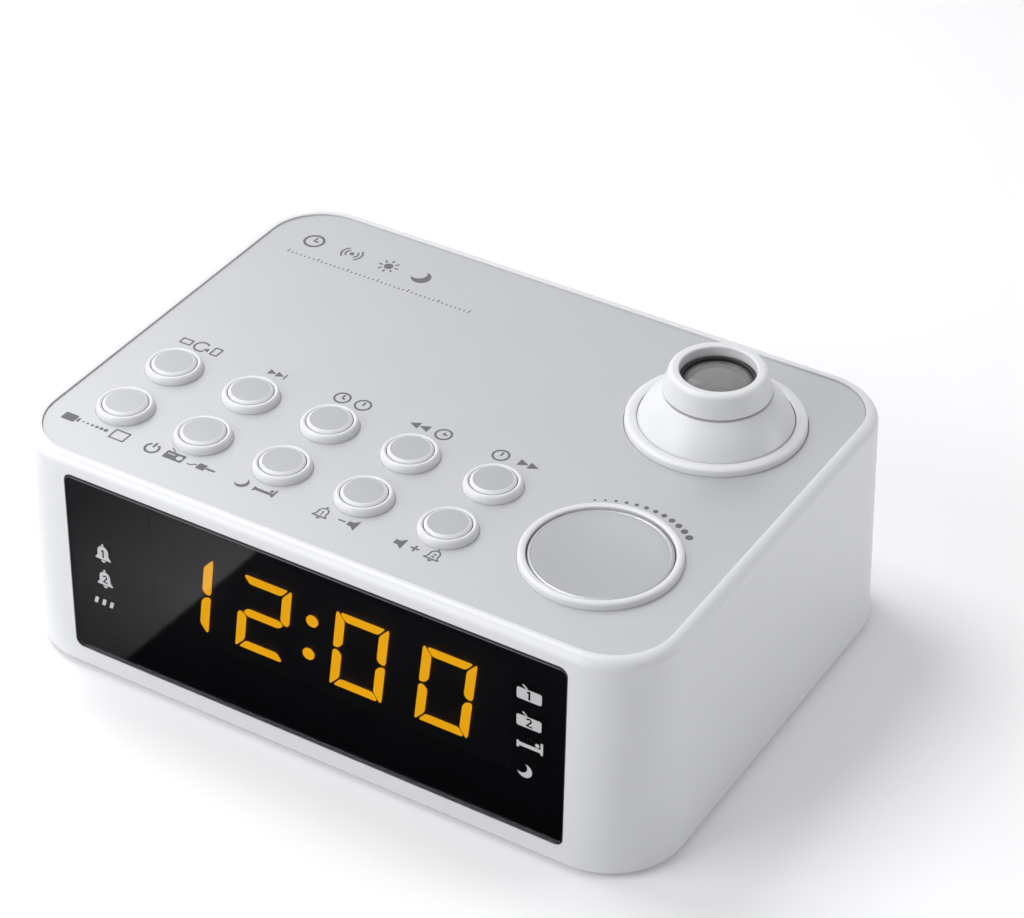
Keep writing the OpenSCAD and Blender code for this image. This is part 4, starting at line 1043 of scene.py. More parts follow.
# ---------------------------------------------------------------- Circuit boards
# Glass-epoxy boards with a green solder mask, copper tracks under it and tinned pads. The key
# board and the display hang from the deck and the front; the others stand on the base.
board_print, given, ends = new_group(
    "board_print",
    [("Mask", "Color", (0.02, 0.16, 0.06, 1)), ("Tracks per metre", "Float", 420.0)],
    skin_outputs + [("Metal", "Float", None)])
where = add_node(board_print, "ShaderNodeTexCoord").outputs["Object"]
cells, spots = [
    add_node(board_print, "ShaderNodeTexVoronoi", feature=feature, Randomness=randomness, Vector=where,
             Scale=maths(board_print, "MULTIPLY", given["Tracks per metre"], factor))
    for feature, randomness, factor in (("DISTANCE_TO_EDGE", 0.85, 1.0), ("F1", 0.55, 1.7))]
track = maths(board_print, "LESS_THAN", cells.outputs["Distance"], 0.09)
pad = maths(board_print, "LESS_THAN", spots.outputs["Distance"], 0.22)
over_track = scaled(board_print, given["Mask"], maths(board_print, "MULTIPLY_ADD", track, 0.7, 1.0))
blend = add_node(board_print, "ShaderNodeMix", data_type="RGBA")
for socket, value in ((0, pad), (6, over_track), (7, (0.55, 0.53, 0.48, 1))):
    feed(board_print, blend.inputs[socket], value)
give(board_print, ends, Colour=blend.outputs[2], Metal=maths(board_print, "MULTIPLY", pad, 0.9),
     Roughness=maths(board_print, "MULTIPLY_ADD", pad, 0.1, 0.28),
     Height=maths(board_print, "MAXIMUM", track, pad))

board = bpy.data.materials.new("board")
board.use_nodes = True
tree = board.node_tree
effect = add_node(tree, "ShaderNodeGroup", node_tree=board_print).outputs
relief = add_node(tree, "ShaderNodeBump", Strength=1.0, Distance=0.035 * MM, Height=effect["Height"])
give(tree, tree.nodes["Principled BSDF"].inputs, **{
    "Base Color": effect["Colour"], "Roughness": effect["Roughness"], "Metallic": effect["Metal"],
    "Normal": relief.outputs["Normal"]})
for node, name in (("display_board", "display_panel"), ("key_board", "key_panel"),
                   ("main_board", "main_panel"), ("jack_board", "jack_panel"),
                   ("lamp_board", "lamp_panel")):
    eased_copy(node, name, board, ease=0.12)

# ---------------------------------------------------------------- Chips and their legs
# Black epoxy packages on the main board. Tinned gull-wing legs stand along two sides of each.
chip_epoxy = moulded("chip_epoxy", (0.022, 0.022, 0.024), grains=4200.0, roughness=0.6, drift=0.1,
                     mottle=0.2, bump=0.01)
eased_copy("chips", "chip_bodies", chip_epoxy, ease=0.15)
tin = skin_material("tin", (0.62, 0.62, 0.60), bare_metal,
                    {"Roughness": 0.32, "Drift": 0.3, "Tarnish": 0.3}, bump=0.003, Metallic=1.0)

set_out, given, ends = new_tree("set_out", [
    ("Part", "Object", None), ("Spin", "Float", 0.0), ("Seed", "Int", 7),
    ("Material", "Material", None)])
part = add_node(set_out, "GeometryNodeObjectInfo", Object=given["Part"])
chance = add_node(set_out, "FunctionNodeRandomValue", None, None, 0.0, given["Spin"], data_type="FLOAT",
                  Seed=given["Seed"])
end_tree(set_out, given, ends,
         placed(set_out, part.outputs["Geometry"], given["Geometry"], chance.outputs[1]))


def laid_out(name, part_mesh, places, material, turns=None, spin=0.0, seed=7):
    """Copies of one part at each place."""
    part_object = bpy.data.objects.new("part", part_mesh)
    scene.collection.objects.link(part_object)
    stand = points_object(name, places, turns)
    settings = {"Part": part_object, "Spin": spin, "Seed": seed, "Material": material}
    return grow(set_out, stand, settings, [part_object])


def bent_strip(line, width, thick):
    """A strip of sheet metal bent along (out, up) points, in millimetres."""
    bm = bmesh.new()
    rings = []
    for k, (out, up) in enumerate(line):
        before = Vector(line[max(0, k - 1)])
        after = Vector(line[min(len(line) - 1, k + 1)])
        way = (after - before).normalized()
        side = Vector((-way.y, way.x)) * thick / 2
        corners = [(-width / 2, out - side.x, up - side.y), (width / 2, out - side.x, up - side.y),
                   (width / 2, out + side.x, up + side.y), (-width / 2, out + side.x, up + side.y)]
        rings.append([bm.verts.new([c * MM for c in corner]) for corner in corners])
    bridge(bm, rings)
    bm.faces.new(rings[0])
    bm.faces.new(rings[-1])
    bmesh.ops.recalc_face_normals(bm, faces=bm.faces)
    return to_mesh("strip", bm)


board_top = 15.6
leg_line = [(0, 0.8), (0.45, 0.8), (0.7, 0.65), (0.8, 0.25), (0.95, 0.08), (1.4, 0.08)]
leg_rows = []
for x0, x1, y0, y1, count in ((-40, -26, -42, -28, 12), (0, 10, -44, -38, 7), (44, 50, -24, -20, 4),
                              (60, 70, -34, -26, 6)):
    for k in range(count):
        x = x0 + (x1 - x0) * (k + 0.75) / (count + 0.5)
        leg_rows += [((x, y1, board_top), 0.0), ((x, y0, board_top), math.pi)]
legs = laid_out("chip_legs", bent_strip(leg_line, 0.42, 0.16), [place for place, turn in leg_rows], tin,
                [(0, 0, turn) for place, turn in leg_rows])
finish_piece("chip_legs", legs, "cabinet_group", tin)

# ---------------------------------------------------------------- Capacitors
# Electrolytic cans in dark blue sleeves. A rolled groove holds the rubber plug at the foot, and
# the bare aluminium top shows inside the sleeve's edge.
sleeve = moulded("sleeve", (0.012, 0.018, 0.09), grains=900.0, roughness=0.25, drift=0.1, mottle=0.2,
                 bump=0.004)
cans, lids = [], []
for x, y, r, h in ((-62, -20, 4, 12), (-52, -20, 4, 12), (-62, -36, 3, 8), (24, -42, 5, 16),
                   (36, -42, 5, 16), (54, -42, 3, 8), (20, -14, 2.5, 7), (66, -16, 2.5, 7)):
    place = [(x, y, board_top)]
    cans.append(turned("can", [(0, 0), (r - 0.3, 0), (r, 0.25), (r, 1.3), (r - 0.25, 1.7), (r, 2.1),
                               (r, h - 0.35), (r - 0.3, h - 0.02), (r - 0.6, h), (r - 0.6, h - 0.1),
                               (0, h - 0.1)], sleeve, place, steps=40))
    lids.append(turned("lid", [(0, h - 0.1), (r - 0.65, h - 0.1), (r - 0.65, h - 0.04),
                               (r * 0.5, h - 0.06), (0, h - 0.06)], tin, place, steps=40))
finish_piece("can_sleeves", joined("can_sleeves", cans), "cabinet_group", sleeve,
             ["capacitors"])
finish_piece("can_lids", joined("can_lids", lids), "cabinet_group", tin)

# ---------------------------------------------------------------- Tuner can, plugs and ribbon
# A tinned screening can covers the tuner. A flat lead of twenty wires joins the main board to the
# key board, and ends in a white plug at each.
eased_copy("tuner_can", "tuner_screen", tin, ease=0.2)
plug_white = moulded("plug_white", (0.62, 0.60, 0.52), grains=2500.0, roughness=0.42, drift=0.1,
                     mottle=0.06, bump=0.005)
eased_copy("board_connectors", "ribbon_plugs", plug_white)

flat_lead, given, ends = new_tree("flat_lead", [
    ("Wires", "Int", 20), ("Pitch", "Float", 1.27 * MM), ("Wire radius", "Float", 0.4 * MM),
    ("Material", "Material", None)])
path = add_node(flat_lead, "GeometryNodeMeshToCurve", Mesh=given["Geometry"])
section = add_node(flat_lead, "GeometryNodeCurvePrimitiveCircle", Resolution=10,
                   Radius=given["Wire radius"])
wire = add_node(flat_lead, "GeometryNodeCurveToMesh", Curve=path.outputs[0],
                Profile_Curve=section.outputs[0], Fill_Caps=True)
apart = add_node(flat_lead, "ShaderNodeCombineXYZ", X=given["Pitch"])
row = add_node(flat_lead, "GeometryNodeMeshLine", Count=given["Wires"], Offset=apart.outputs[0])
copies = add_node(flat_lead, "GeometryNodeInstanceOnPoints", Points=row.outputs[0],
                  Instance=wire.outputs[0])
end_tree(flat_lead, given, ends, copies.outputs[0])

ribbon_vinyl = moulded("ribbon_vinyl", (0.34, 0.35, 0.37), grains=700.0, roughness=0.35, drift=0.1,
                       mottle=0.1)
lead_low, lead_high = board_top + 6, key_board_top - 1.6 - 6
lead_half, lead_bow = (lead_high - lead_low) / 2, 30.0
lead_turn = math.degrees(math.asin(lead_half / lead_bow))
lead_back = -9 + lead_bow * math.cos(math.radians(lead_turn))
lead_x, lead_steps = -19.07, 24
lead_path = [(lead_x, lead_back - x, (lead_low + lead_high) / 2 + z)
             for x, z in arc(0, 0, lead_bow, -lead_turn, lead_turn, lead_steps)]
lead = grow(flat_lead, points_object("lead", lead_path, edges=[(k, k + 1) for k in range(lead_steps)]),
            {"Wires": 20, "Pitch": 1.27 * MM, "Wire radius": 0.42 * MM, "Material": ribbon_vinyl})
finish_piece("ribbon_wires", lead, "cabinet_group", ribbon_vinyl, ["ribbon_cable"])

# ---------------------------------------------------------------- Switches
# Eleven tact switches stand on the key board: a black base, a pressed tin cover held by four
# rivets, and a round plunger under each key's stem.
switch_plastic = moulded("switch_plastic", (0.03, 0.03, 0.032), grains=3000.0, roughness=0.4, drift=0.1,
                         mottle=0.2, bump=0.005)


def box_mesh(low, high, ease):
    """A box between two corners with eased edges, in millimetres."""
    bm = bmesh.new()
    bmesh.ops.create_cube(bm, size=1.0)
    for v in bm.verts:
        v.co = Vector([(a + b) / 2 + c * (b - a) for a, b, c in zip(low, high, v.co)]) * MM
    bmesh.ops.bevel(bm, geom=bm.edges[:], offset=ease * MM, segments=2, profile=0.6, affect="EDGES")
    return to_mesh("box", bm)


switch_places = [(*place, key_board_top) for place in key_places + [snooze_place]]
plunger_line = [(0, 3.4), (1.75, 3.4), (1.75, 3.7), (1.65, 3.8), (0, 3.8)]
plunger = turned("plunger", plunger_line, switch_plastic, steps=24)
base = joined("base", [box_mesh((-3, -3, 0), (3, 3, 3.2), 0.15), plunger])
finish_piece("switch_bases", laid_out("bases", base, switch_places, switch_plastic), "cabinet_group",
             switch_plastic, ["tact_switches"])
rivet = turned("rivet", [(0, 3.4), (0.35, 3.4), (0.35, 3.52), (0.2, 3.6), (0, 3.6)], tin,
               [(x, y, 0) for x in (-2.2, 2.2) for y in (-2.2, 2.2)], steps=12)
cover = joined("cover", [turned("cover", sleeve_line(1.8, 2.9, 3.2, 3.5), tin, steps=32), rivet])
finish_piece("switch_covers", laid_out("covers", cover, switch_places, tin), "cabinet_group",
             tin, ["tact_switches"])

# ---------------------------------------------------------------- Indicator lamps
# Seven small round-ended diodes behind the pane's signs. They are dark smoked epoxy when unlit.
smoky_epoxy = moulded("smoky_epoxy", (0.05, 0.028, 0.014), grains=500.0, roughness=0.2, drift=0.05,
                      mottle=0.1)
lamp_spots = [(-65.3, 6.8), (-65.3, -1.6), (-65.3, -10.0), (66.0, 16.3), (66.0, 7.8), (66.0, 0.1),
              (66.0, -8.5)]
face_deep = 2.5
diode_line = [(0, 0), (1.0, 0.18), (1.6, 0.7), (1.9, 1.5), (1.9, 7.0), (2.3, 7.0), (2.3, 8.0), (0, 8.0)]
turned_piece("indicator_diodes", diode_line, smoky_epoxy, "cabinet_group",
             ["indicator_lamps"], [on_front(x, face_deep, up) for x, up in lamp_spots],
             [(-math.pi / 2 - draft, 0, 0)] * len(lamp_spots), steps=28)

# ---------------------------------------------------------------- Sockets in the rear wall
# The power inlet and the audio jack stand on the jack board. The bush for the aerial wire is
# pushed into the wall.
(inlet_x, socket_z, _), (audio_x, _, _), (bush_x, bush_z, _) = rear_holes
socket_y = core.y + wall_reach(socket_z) - 1
bush_y = core.y + wall_reach(bush_z) - 0.6
backwards = (-math.pi / 2, 0, 0)
inlet_line = closed([(2.8, 10.0), (0, 10.0), (0, 13.0), (5.2, 13.0), (5.2, 0.25), (4.95, 0), (3.3, 0),
                     (2.9, 0.3), (2.8, 0.6)])


def facing_back(outline):
    """Outline heights count inwards from the mouth, so they are turned to point at the back."""
    return [(r, -z) for r, z in outline]


inlet_at, audio_at = [(inlet_x, socket_y, socket_z)], [(audio_x, socket_y, socket_z)]
inlet_low = (inlet_x - 5.2, socket_y - 13, board_top)
inlet = [turned("inlet", facing_back(inlet_line), black_plastic, inlet_at, [backwards], steps=56),
         box_mesh(inlet_low, (inlet_x + 5.2, socket_y - 10.2, 26.2), 0.3),
         box_mesh(inlet_low, (inlet_x + 5.2, socket_y - 4, 17.6), 0.3)]
finish_piece("inlet_body", joined("inlet_body", inlet), "cabinet_group", black_plastic,
             ["power_inlet"])
pin_line = [(0, 10.2), (1.05, 10.2), (1.05, 1.5), (0.8, 1.25), (0, 1.2)]
turned_piece("inlet_pin", facing_back(pin_line), tin, "cabinet_group", ["power_inlet"],
             inlet_at, [backwards], steps=24)

jack_line = closed([(1.8, 14.0), (1.8, 0.9), (2.5, 0.9), (2.5, 0), (3.1, 0), (3.4, 0.3), (3.4, 16.0),
                    (2.2, 16.0), (2.2, 14.0)])
jack = [turned("jack", facing_back(jack_line), black_plastic, audio_at, [backwards], steps=48),
        box_mesh((audio_x - 4, socket_y - 16, board_top), (audio_x + 4, socket_y - 4, 17.5), 0.3)]
finish_piece("jack_body", joined("jack_body", jack), "cabinet_group", black_plastic,
             ["audio_socket"])
mouth_line = closed([(1.8, 0.9), (1.8, 0.25), (1.95, 0.1), (2.5, 0.1), (2.5, 0.9)])
turned_piece("jack_ring", facing_back(mouth_line), tin, "cabinet_group", (), audio_at,
             [backwards], steps=48)

rubber = moulded("rubber", (0.02, 0.02, 0.021), grains=2600.0, roughness=0.75, drift=0.1, mottle=0.25,
                 bump=0.02)
bush_line = closed([(1.2, 0.25), (1.45, 0), (3.15, 0), (3.4, 0.25), (3.4, 2.6), (4.8, 2.6), (5.0, 2.8),
                    (5.0, 4.5), (1.2, 4.5)])
turned_piece("aerial_bush", facing_back(bush_line), rubber, "cabinet_group",
             ["antenna_grommet"], [(bush_x, bush_y, bush_z)], [backwards], steps=48)

# ---------------------------------------------------------------- Loudspeaker
# A pressed steel basket with a ferrite magnet, screwed face down on the base's slots. The paper
# cone has a rolled surround, and a dust cap at its middle.
speaker = (-48.0, 22.0)
speaker_metal = skin_material(
    "speaker_metal", (0.16, 0.16, 0.17), bare_metal,
    {"Roughness": 0.38, "Drift": 0.2, "Tarnish": 0.3}, bump=0.003, Metallic=0.9)
eased_copy("speaker_frame", "speaker_basket", speaker_metal, ease=0.15)
eased_copy("speaker_magnet", "speaker_motor", speaker_metal, ease=0.3)

felt, given, ends = new_group(
    "felt", [("Colour", "Color", (0.1, 0.1, 0.1, 1)), ("Fibres per metre", "Float", 1400.0)],
    skin_outputs)
where = add_node(felt, "ShaderNodeTexCoord").outputs["Object"]
matted = add_node(felt, "ShaderNodeTexNoise", Detail=6.0, Roughness=0.75, Distortion=1.2, Vector=where,
                  Scale=given["Fibres per metre"]).outputs["Fac"]
tone = maths(felt, "MULTIPLY_ADD", matted, 0.8, 0.6)
give(felt, ends, Colour=scaled(felt, given["Colour"], tone),
     Roughness=maths(felt, "MULTIPLY_ADD", matted, 0.2, 0.75), Height=matted)

cone_paper = skin_material("cone_paper", (0.035, 0.032, 0.03), felt, {}, bump=0.05)
cone_line = [(0, 6.3), (2.5, 6.5), (5.0, 7.4), (7.0, 9.6), (20.2, 1.25), (20.6, 1.2)]
cone_line += [(22.0 - 1.3 * x, 1.2 - y) for x, y in arc(0, 0, 1, 0, 180, 8)]
cone_line += [(23.8, 1.2), (23.8, 1.45), (23.1, 1.45)]
cone_line += [(22.0 + 1.05 * x, 1.45 - 0.8 * y) for x, y in arc(0, 0, 1, 0, 180, 8)]
cone_line += [(7.1, 10.4), (7.1, 13.6), (6.2, 13.6), (6.2, 9.6), (4.6, 7.8), (2.4, 6.9), (0, 6.7)]
turned_piece("speaker_cone_paper", cone_line, cone_paper, "cabinet_group",
             ["speaker_cone"], places=[(*speaker, base_top)], steps=96, sharp=50)

# ---------------------------------------------------------------- Aerial rod
# A ferrite rod hangs in two clips under the deck. A coil of lacquered copper wire is wound on it.
ferrite = moulded("ferrite", (0.045, 0.042, 0.042), grains=1500.0, roughness=0.6, drift=0.2, mottle=0.3,
                  bump=0.02)
eased_copy("ferrite_rod", "ferrite_core", ferrite, ease=0.3)
base_plastic = moulded("base_plastic", (0.66, 0.665, 0.67), grains=1500.0, roughness=0.42, drift=0.08,
                       mottle=0.02, bump=0.012)
eased_copy("rod_clips", "aerial_clips", base_plastic, ease=0.2)

winding, given, ends = new_tree("winding", [
    ("Places", "Object", None), ("Turns", "Float", 40.0), ("Start radius", "Float", 4.0 * MM),
    ("End radius", "Float", 4.0 * MM), ("Length", "Float", 20.0 * MM),
    ("Wire radius", "Float", 0.2 * MM), ("Steps", "Int", 24), ("Sides", "Int", 6),
    ("Material", "Material", None)])
helix = add_node(winding, "GeometryNodeCurveSpiral", Resolution=given["Steps"],
                 Rotations=given["Turns"], Start_Radius=given["Start radius"],
                 End_Radius=given["End radius"], Height=given["Length"])
section = add_node(winding, "GeometryNodeCurvePrimitiveCircle", Resolution=given["Sides"],
                   Radius=given["Wire radius"])
wire = add_node(winding, "GeometryNodeCurveToMesh", Curve=helix.outputs[0],
                Profile_Curve=section.outputs[0], Fill_Caps=True)
stands = add_node(winding, "GeometryNodeObjectInfo", Object=given["Places"])
end_tree(winding, given, ends, placed(winding, wire.outputs[0], stands.outputs["Geometry"]))


def wound(name, place_list, turn_list, material, **sizes):
    """Coils of wire. Sizes are named as the tree's inputs are, in millimetres."""
    settings = {"Material": material, "Places": points_object("places", place_list, turn_list)}
    for label, value in sizes.items():
        whole = label in ("Turns", "Steps", "Sides")
        settings[label.replace("_", " ")] = value if whole else value * MM
    return grow(winding, points_object(name, [(0, 0, 0)]), settings, [settings["Places"]])


copper = skin_material("copper", (0.62, 0.26, 0.11), bare_metal,
                       {"Roughness": 0.25, "Drift": 0.2, "Tarnish": 0.2}, Metallic=1.0)
coil = wound("coil", [(-56.0, 58.0, 52.0)], [(0, math.pi / 2, 0)], copper, Turns=44.0, Steps=24,
             Sides=6, Start_radius=4.45, End_radius=4.45, Length=22.0, Wire_radius=0.24)
finish_piece("copper_coil", coil, "cabinet_group", copper, ["rod_coil"], sharp=80)

# ---------------------------------------------------------------- Base and battery door
# The base is one moulding with the speaker's slots, the battery bay and the boards' posts. The
# door slides off sideways; ribs on it give grip.
eased_copy("base_cover", "base_tray", base_plastic, ease=0.3)
eased_copy("battery_door", "door_panel", base_plastic, ease=0.25)

# ---------------------------------------------------------------- Backup cells
# Two plain cells lie in the bay, each with a steel cap and a nub. A bent plate touches one end,
# and a coned spring presses the other.
bay_mid_x, cell_len, cell_z = 36.0, 44.5, base_top + 6
cell_ys = (15.0, 27.0)
plate_left, plate_right, contact_t = 10.0, 61.6, 0.4
cell_jacket = moulded("cell_jacket", (0.05, 0.11, 0.20), grains=600.0, roughness=0.22, drift=0.08,
                      mottle=0.15)
jacket_line = [(0, 0.2), (3.6, 0.2), (3.9, 0), (4.9, 0), (5.25, 0.35), (5.25, 43.1), (4.9, 43.45),
               (3.9, 43.45), (3.7, 43.2), (0, 43.2)]
cap_line = [(0, 43.2), (3.6, 43.2), (3.3, 43.5), (1.95, 43.5), (1.9, 44.3), (1.7, 44.5), (0, 44.5)]
cell_places = [(bay_mid_x - cell_len / 2, y, cell_z) for y in cell_ys]
along = [(0, math.pi / 2, 0)] * 2
turned_piece("cell_sleeves", jacket_line, cell_jacket, "cabinet_group", ["backup_cells"],
             places=cell_places, turns=along, steps=48)
turned_piece("cell_caps", cap_line, tin, "cabinet_group", places=cell_places, turns=along,
             steps=32)
springs = wound("springs", [(plate_left + 0.45, y, cell_z) for y in cell_ys], along, tin, Turns=5.0,
                Steps=28, Sides=8, Start_radius=3.7, End_radius=1.8, Length=3.0, Wire_radius=0.3)
plates = [box_mesh((x, y - 4, 5), (x + contact_t, y + 4, 15.6), 0.1)
          for y in cell_ys for x in (plate_left, plate_right)]
tongue_line = [(0, 0), (-1.2, 0.4), (-2.6, 2.0), (-3.2, 3.0), (-3.0, 4.0), (-2.2, 5.6), (0, 6.6)]
tongues = laid_out("tongues", bent_strip(tongue_line, 3.0, 0.3),
                   [(plate_right, y, 7.3) for y in cell_ys], tin, [(0, 0, -math.pi / 2)] * 2)
finish_piece("cell_springs", joined("contacts", [springs, tongues, *plates]), "cabinet_group", tin,
             ["cell_contacts"])

# ---------------------------------------------------------------- Feet
# Four black rubber discs, each stuck in a shallow seat. Rings moulded in the sole grip the table.
foot_places = [(x, y, 0) for x in (-74.0, 74.0) for y in (-50.0, 50.0)]
foot_line = [(0, 0.25), (1.4, 0.25), (1.6, 0), (2.3, 0), (2.5, 0.25), (3.3, 0.25), (3.5, 0),
             (4.2, 0), (4.4, 0.25), (4.7, 0.25), (4.85, 0), (5.4, 0), (5.85, 0.35), (6.0, 0.8),
             (6.0, 3.0), (0, 3.0)]
turned_piece("grip_feet", foot_line, rubber, "cabinet_group", ["rubber_feet"],
             places=foot_places, steps=56)

# ---------------------------------------------------------------- Screws
# Zinc-plated pan-head screws with a cross recess: for the case, the boards, the loudspeaker and
# the ring that keeps the projector in. Each is turned to where its thread went tight.


def screw_mesh(head_r, head_h, shank, length):
    """A screw that points up, its head's underside at zero."""
    bm = bmesh.new()
    line = [(0.25, length), (shank * 0.6, length - 0.9)]
    z = length - 1.2
    while z > 0.6:
        line += [(shank, z), (shank * 0.82, z - 0.25)]
        z -= 0.5
    line += [(shank, 0.3), (shank, 0), (head_r - 0.15, 0), (head_r, -0.12 * head_h),
             (head_r * 0.97, -0.45 * head_h), (head_r * 0.86, -0.8 * head_h), (head_r * 0.66, -head_h)]
    rings = [round_ring(bm, (0, 0), r, z, 20) for r, z in line]
    bridge(bm, rings)
    bm.faces.new(rings[0])
    half, reach = head_r * 0.11, head_r * 0.52
    cross = [(half, half), (half, reach), (-half, reach), (-half, half), (-reach, half),
             (-reach, -half), (-half, -half), (-half, -reach), (half, -reach), (half, -half),
             (reach, -half), (reach, half)]
    rim = add_ring(bm, [(x, y, -head_h) for x, y in cross])
    floor_ring = add_ring(bm, [(x * 0.55, y * 0.55, -head_h * 0.3) for x, y in cross])
    fill(bm, ring_edges(bm, rings[-1]) + ring_edges(bm, rim))
    bridge(bm, [rim, floor_ring])
    fill(bm, ring_edges(bm, floor_ring))
    return in_metres("screw", bm)


head_down = (math.pi, 0, 0)
base_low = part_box("base_cover")[0].z / MM


def ring_of(centre, r, angles, z):
    """Places on a circle at angles in degrees."""
    return [(centre[0] + r * math.cos(math.radians(a)), centre[1] + r * math.sin(math.radians(a)), z)
            for a in angles]


lower_posts = [(-74, -44), (-74, -12), (78, -44), (78, -12), (-17, 51), (3, 51)]
up_board = [(x, y, key_board_top - 1.6) for x, y in key_board_posts]
down_board = [(x, y, board_top) for x, y in lower_posts]
at_speaker = ring_of(speaker, 32.2, (45, 135, 225, 315), base_top)
washer_low, washer_high = 1.2, 1.8
small_head = (2.4, 1.6, 1.05)
screw_sets = (
    ("case_screw_set", "case_screws", (2.9, 1.3, 1.25, 12),
     [(x, y, base_low + 1.4) for x, y in screw_posts], None),
    ("board_screw_set", "board_screws", (*small_head, 7), up_board + down_board,
     [(0, 0, 0)] * len(up_board) + [head_down] * len(down_board)),
    ("speaker_screw_set", "speaker_screws", (*small_head, 2.6),
     [(x, y, z + washer_high) for x, y, z in at_speaker], [head_down] * 4),
    ("retainer_screw_set", "retainer_screws", (2.2, 1.5, 1.05, 6.6),
     ring_of(ball_place, 31.2, (135, 225, 315), 55.9), None))
for seed, (name, node, size, places, turns) in enumerate(screw_sets):
    parts = [laid_out(name, screw_mesh(*size), places, steel, turns, spin=math.pi, seed=seed + 3)]
    if node == "speaker_screws":
        washer_line = sleeve_line(1.2, 4.6, washer_low, washer_high)
        parts.append(turned("washers", washer_line, steel, at_speaker, steps=24))
    finish_piece(name, joined(name, parts), "cabinet_group", steel, [node])

# ---------------------------------------------------------------- Printed signs
# Plain pictograms are pad-printed: dark grey on the silver plate and pale grey on the pane. Each
# stands for what its key or lamp does, and the ink is a few hundredths of a millimetre thick.


def moved_to(shape, x, y, scale=1.0):
    """The loops of a shape at another place and size."""
    return [[(x + px * scale, y + py * scale) for px, py in loop] for loop in shape]


def disc(x, y, r, steps=28):
    """A closed loop round a point."""
    return arc(x, y, r, 0, 360, steps)[:-1]


def stroke(points, width):
    """The outline of a line of even width along some points."""
    line = [Vector(p) for p in points]
    left, right = [], []
    for k, p in enumerate(line):
        after = (line[k + 1] - p).normalized() if k + 1 < len(line) else None
        before = (p - line[k - 1]).normalized() if k else after
        after = after or before
        way = (before + after).normalized()
        reach = width / 2 / max(0.6, way.dot(before))
        side = Vector((-way.y, way.x)) * reach
        left.append(tuple(p + side))
        right.append(tuple(p - side))
    return left + right[::-1]


one = [(-0.16, -0.95), (0.22, -0.95), (0.22, 0.95), (-0.08, 0.95), (-0.5, 0.62), (-0.34, 0.36),
       (-0.16, 0.5)]
two = stroke(arc(0, 0.42, 0.4, 165, -35, 10) + [(-0.4, -0.72), (0.62, -0.78)], 0.34)
bell_side = [(2.5, -1.9), (2.5, -1.5), (1.8, -0.7)]
bell_line = bell_side + arc(0, 0.7, 1.75, 0, 180, 16) + [(-x, y) for x, y in bell_side[::-1]]
bell_trim = [[disc(0, 2.85, 0.36, 16)], [arc(0, -2.1, 0.7, 180, 360, 12)]]


def bell(*mark):
    """A solid bell with marks cut through it."""
    return [[bell_line] + [[(x * 1.35, y * 1.35) for x, y in line] for line in mark]] + bell_trim


hollow_side = [(1.75, -1.35), (1.3, -0.6)]
bell_hollow = hollow_side + arc(0, 0.7, 1.25, 0, 180, 14) + [(-x, y) for x, y in hollow_side[::-1]]


def outline_bell(mark):
    """A bell drawn in outline around a mark."""
    return [[bell_line, bell_hollow], [mark]] + bell_trim


def badge(mark):
    """A small radio seen from the front, with its aerial up."""
    body = round_corner_ring(3.6, 1.75, 0.6, 5)
    hole = [(x * 1.55, y * 1.45) for x, y in mark]
    return [[body, hole], [stroke([(-1.9, 2.9), (-0.6, 1.9)], 0.45)]]


bed_line = [(-3.8, -1.6), (-3.1, -1.6), (-3.1, -1.0), (3.1, -1.0), (3.1, -1.6), (3.8, -1.6), (3.8, 2.1),
            (3.1, 2.1), (3.1, 0.15), (-3.1, 0.15), (-3.1, 0.5), (-3.8, 0.5)]
bed = [[bed_line], [disc(2.15, 0.95, 0.62, 16)]]


def crescent(r, cut_r, cx, cy):
    """A disc with a round bite out of it."""
    far = math.hypot(cx, cy)
    way = math.degrees(math.atan2(cy, cx))
    spread = math.degrees(math.acos((r * r + far * far - cut_r * cut_r) / (2 * r * far)))
    open_a = math.degrees(math.acos((far - r * math.cos(math.radians(spread))) / cut_r))
    outer = arc(0, 0, r, way + spread, way + 360 - spread, 26)
    inner = arc(cx, cy, cut_r, way + 180 + open_a, way + 180 - open_a, 18)
    return [[outer + inner[1:-1]]]


moon = crescent(2.35, 1.95, -1.15, 0.95)
thin_moon = crescent(2.1, 1.9, -0.75, 0.75)
clock_ring = [disc(0, 0, 2.5, 36), disc(0, 0, 1.9, 36)]


def clock_face(hand, width=0.55):
    """A ring round the line that the clock's hands make."""
    return [clock_ring, [stroke(hand, width)]]


hands = [(0, 1.5), (0, 0), (1.05, -0.45)]
triangle = [(-1.2, -1.2), (1.2, 0), (-1.2, 1.2)]
play_next = [moved_to([triangle], -1.0, 0), moved_to([triangle], 1.5, 0),
             [[(2.9, -1.2), (3.35, -1.2), (3.35, 1.2), (2.9, 1.2)]]]
forward = [moved_to([triangle], -1.25, 0), moved_to([triangle], 1.3, 0)]
back = [[[(-x, y) for x, y in loop[::-1]] for loop in shape] for shape in forward]
power = [[stroke(arc(0, 0, 1.95, 122, 418, 24), 0.7)], [stroke([(0, 0.4), (0, 2.5)], 0.7)]]
radio_front = [[round_corner_ring(3.0, 1.6, 0.4, 4), disc(1.6, 0, 0.9, 20),
                stroke([(-2.4, 0.5), (-0.1, 0.5)], 0.4)],
               [stroke([(-2.6, 3.0), (-0.8, 1.8)], 0.36)]]
plug_shape = [[[(-1.2, -1.2), (1.3, -1.2), (1.3, 1.2), (-1.2, 1.2)]],
              [stroke([(1.5, 0.0), (4.3, 0.0)], 0.75)],
              [stroke([(-1.4, 0), (-2.2, 0), (-3.0, -0.7), (-4.2, -0.7)], 0.4)]]
horn = [(-1.6, -0.6), (-0.7, -0.6), (0.4, -1.5), (0.4, 1.5), (-0.7, 0.6), (-1.6, 0.6)]
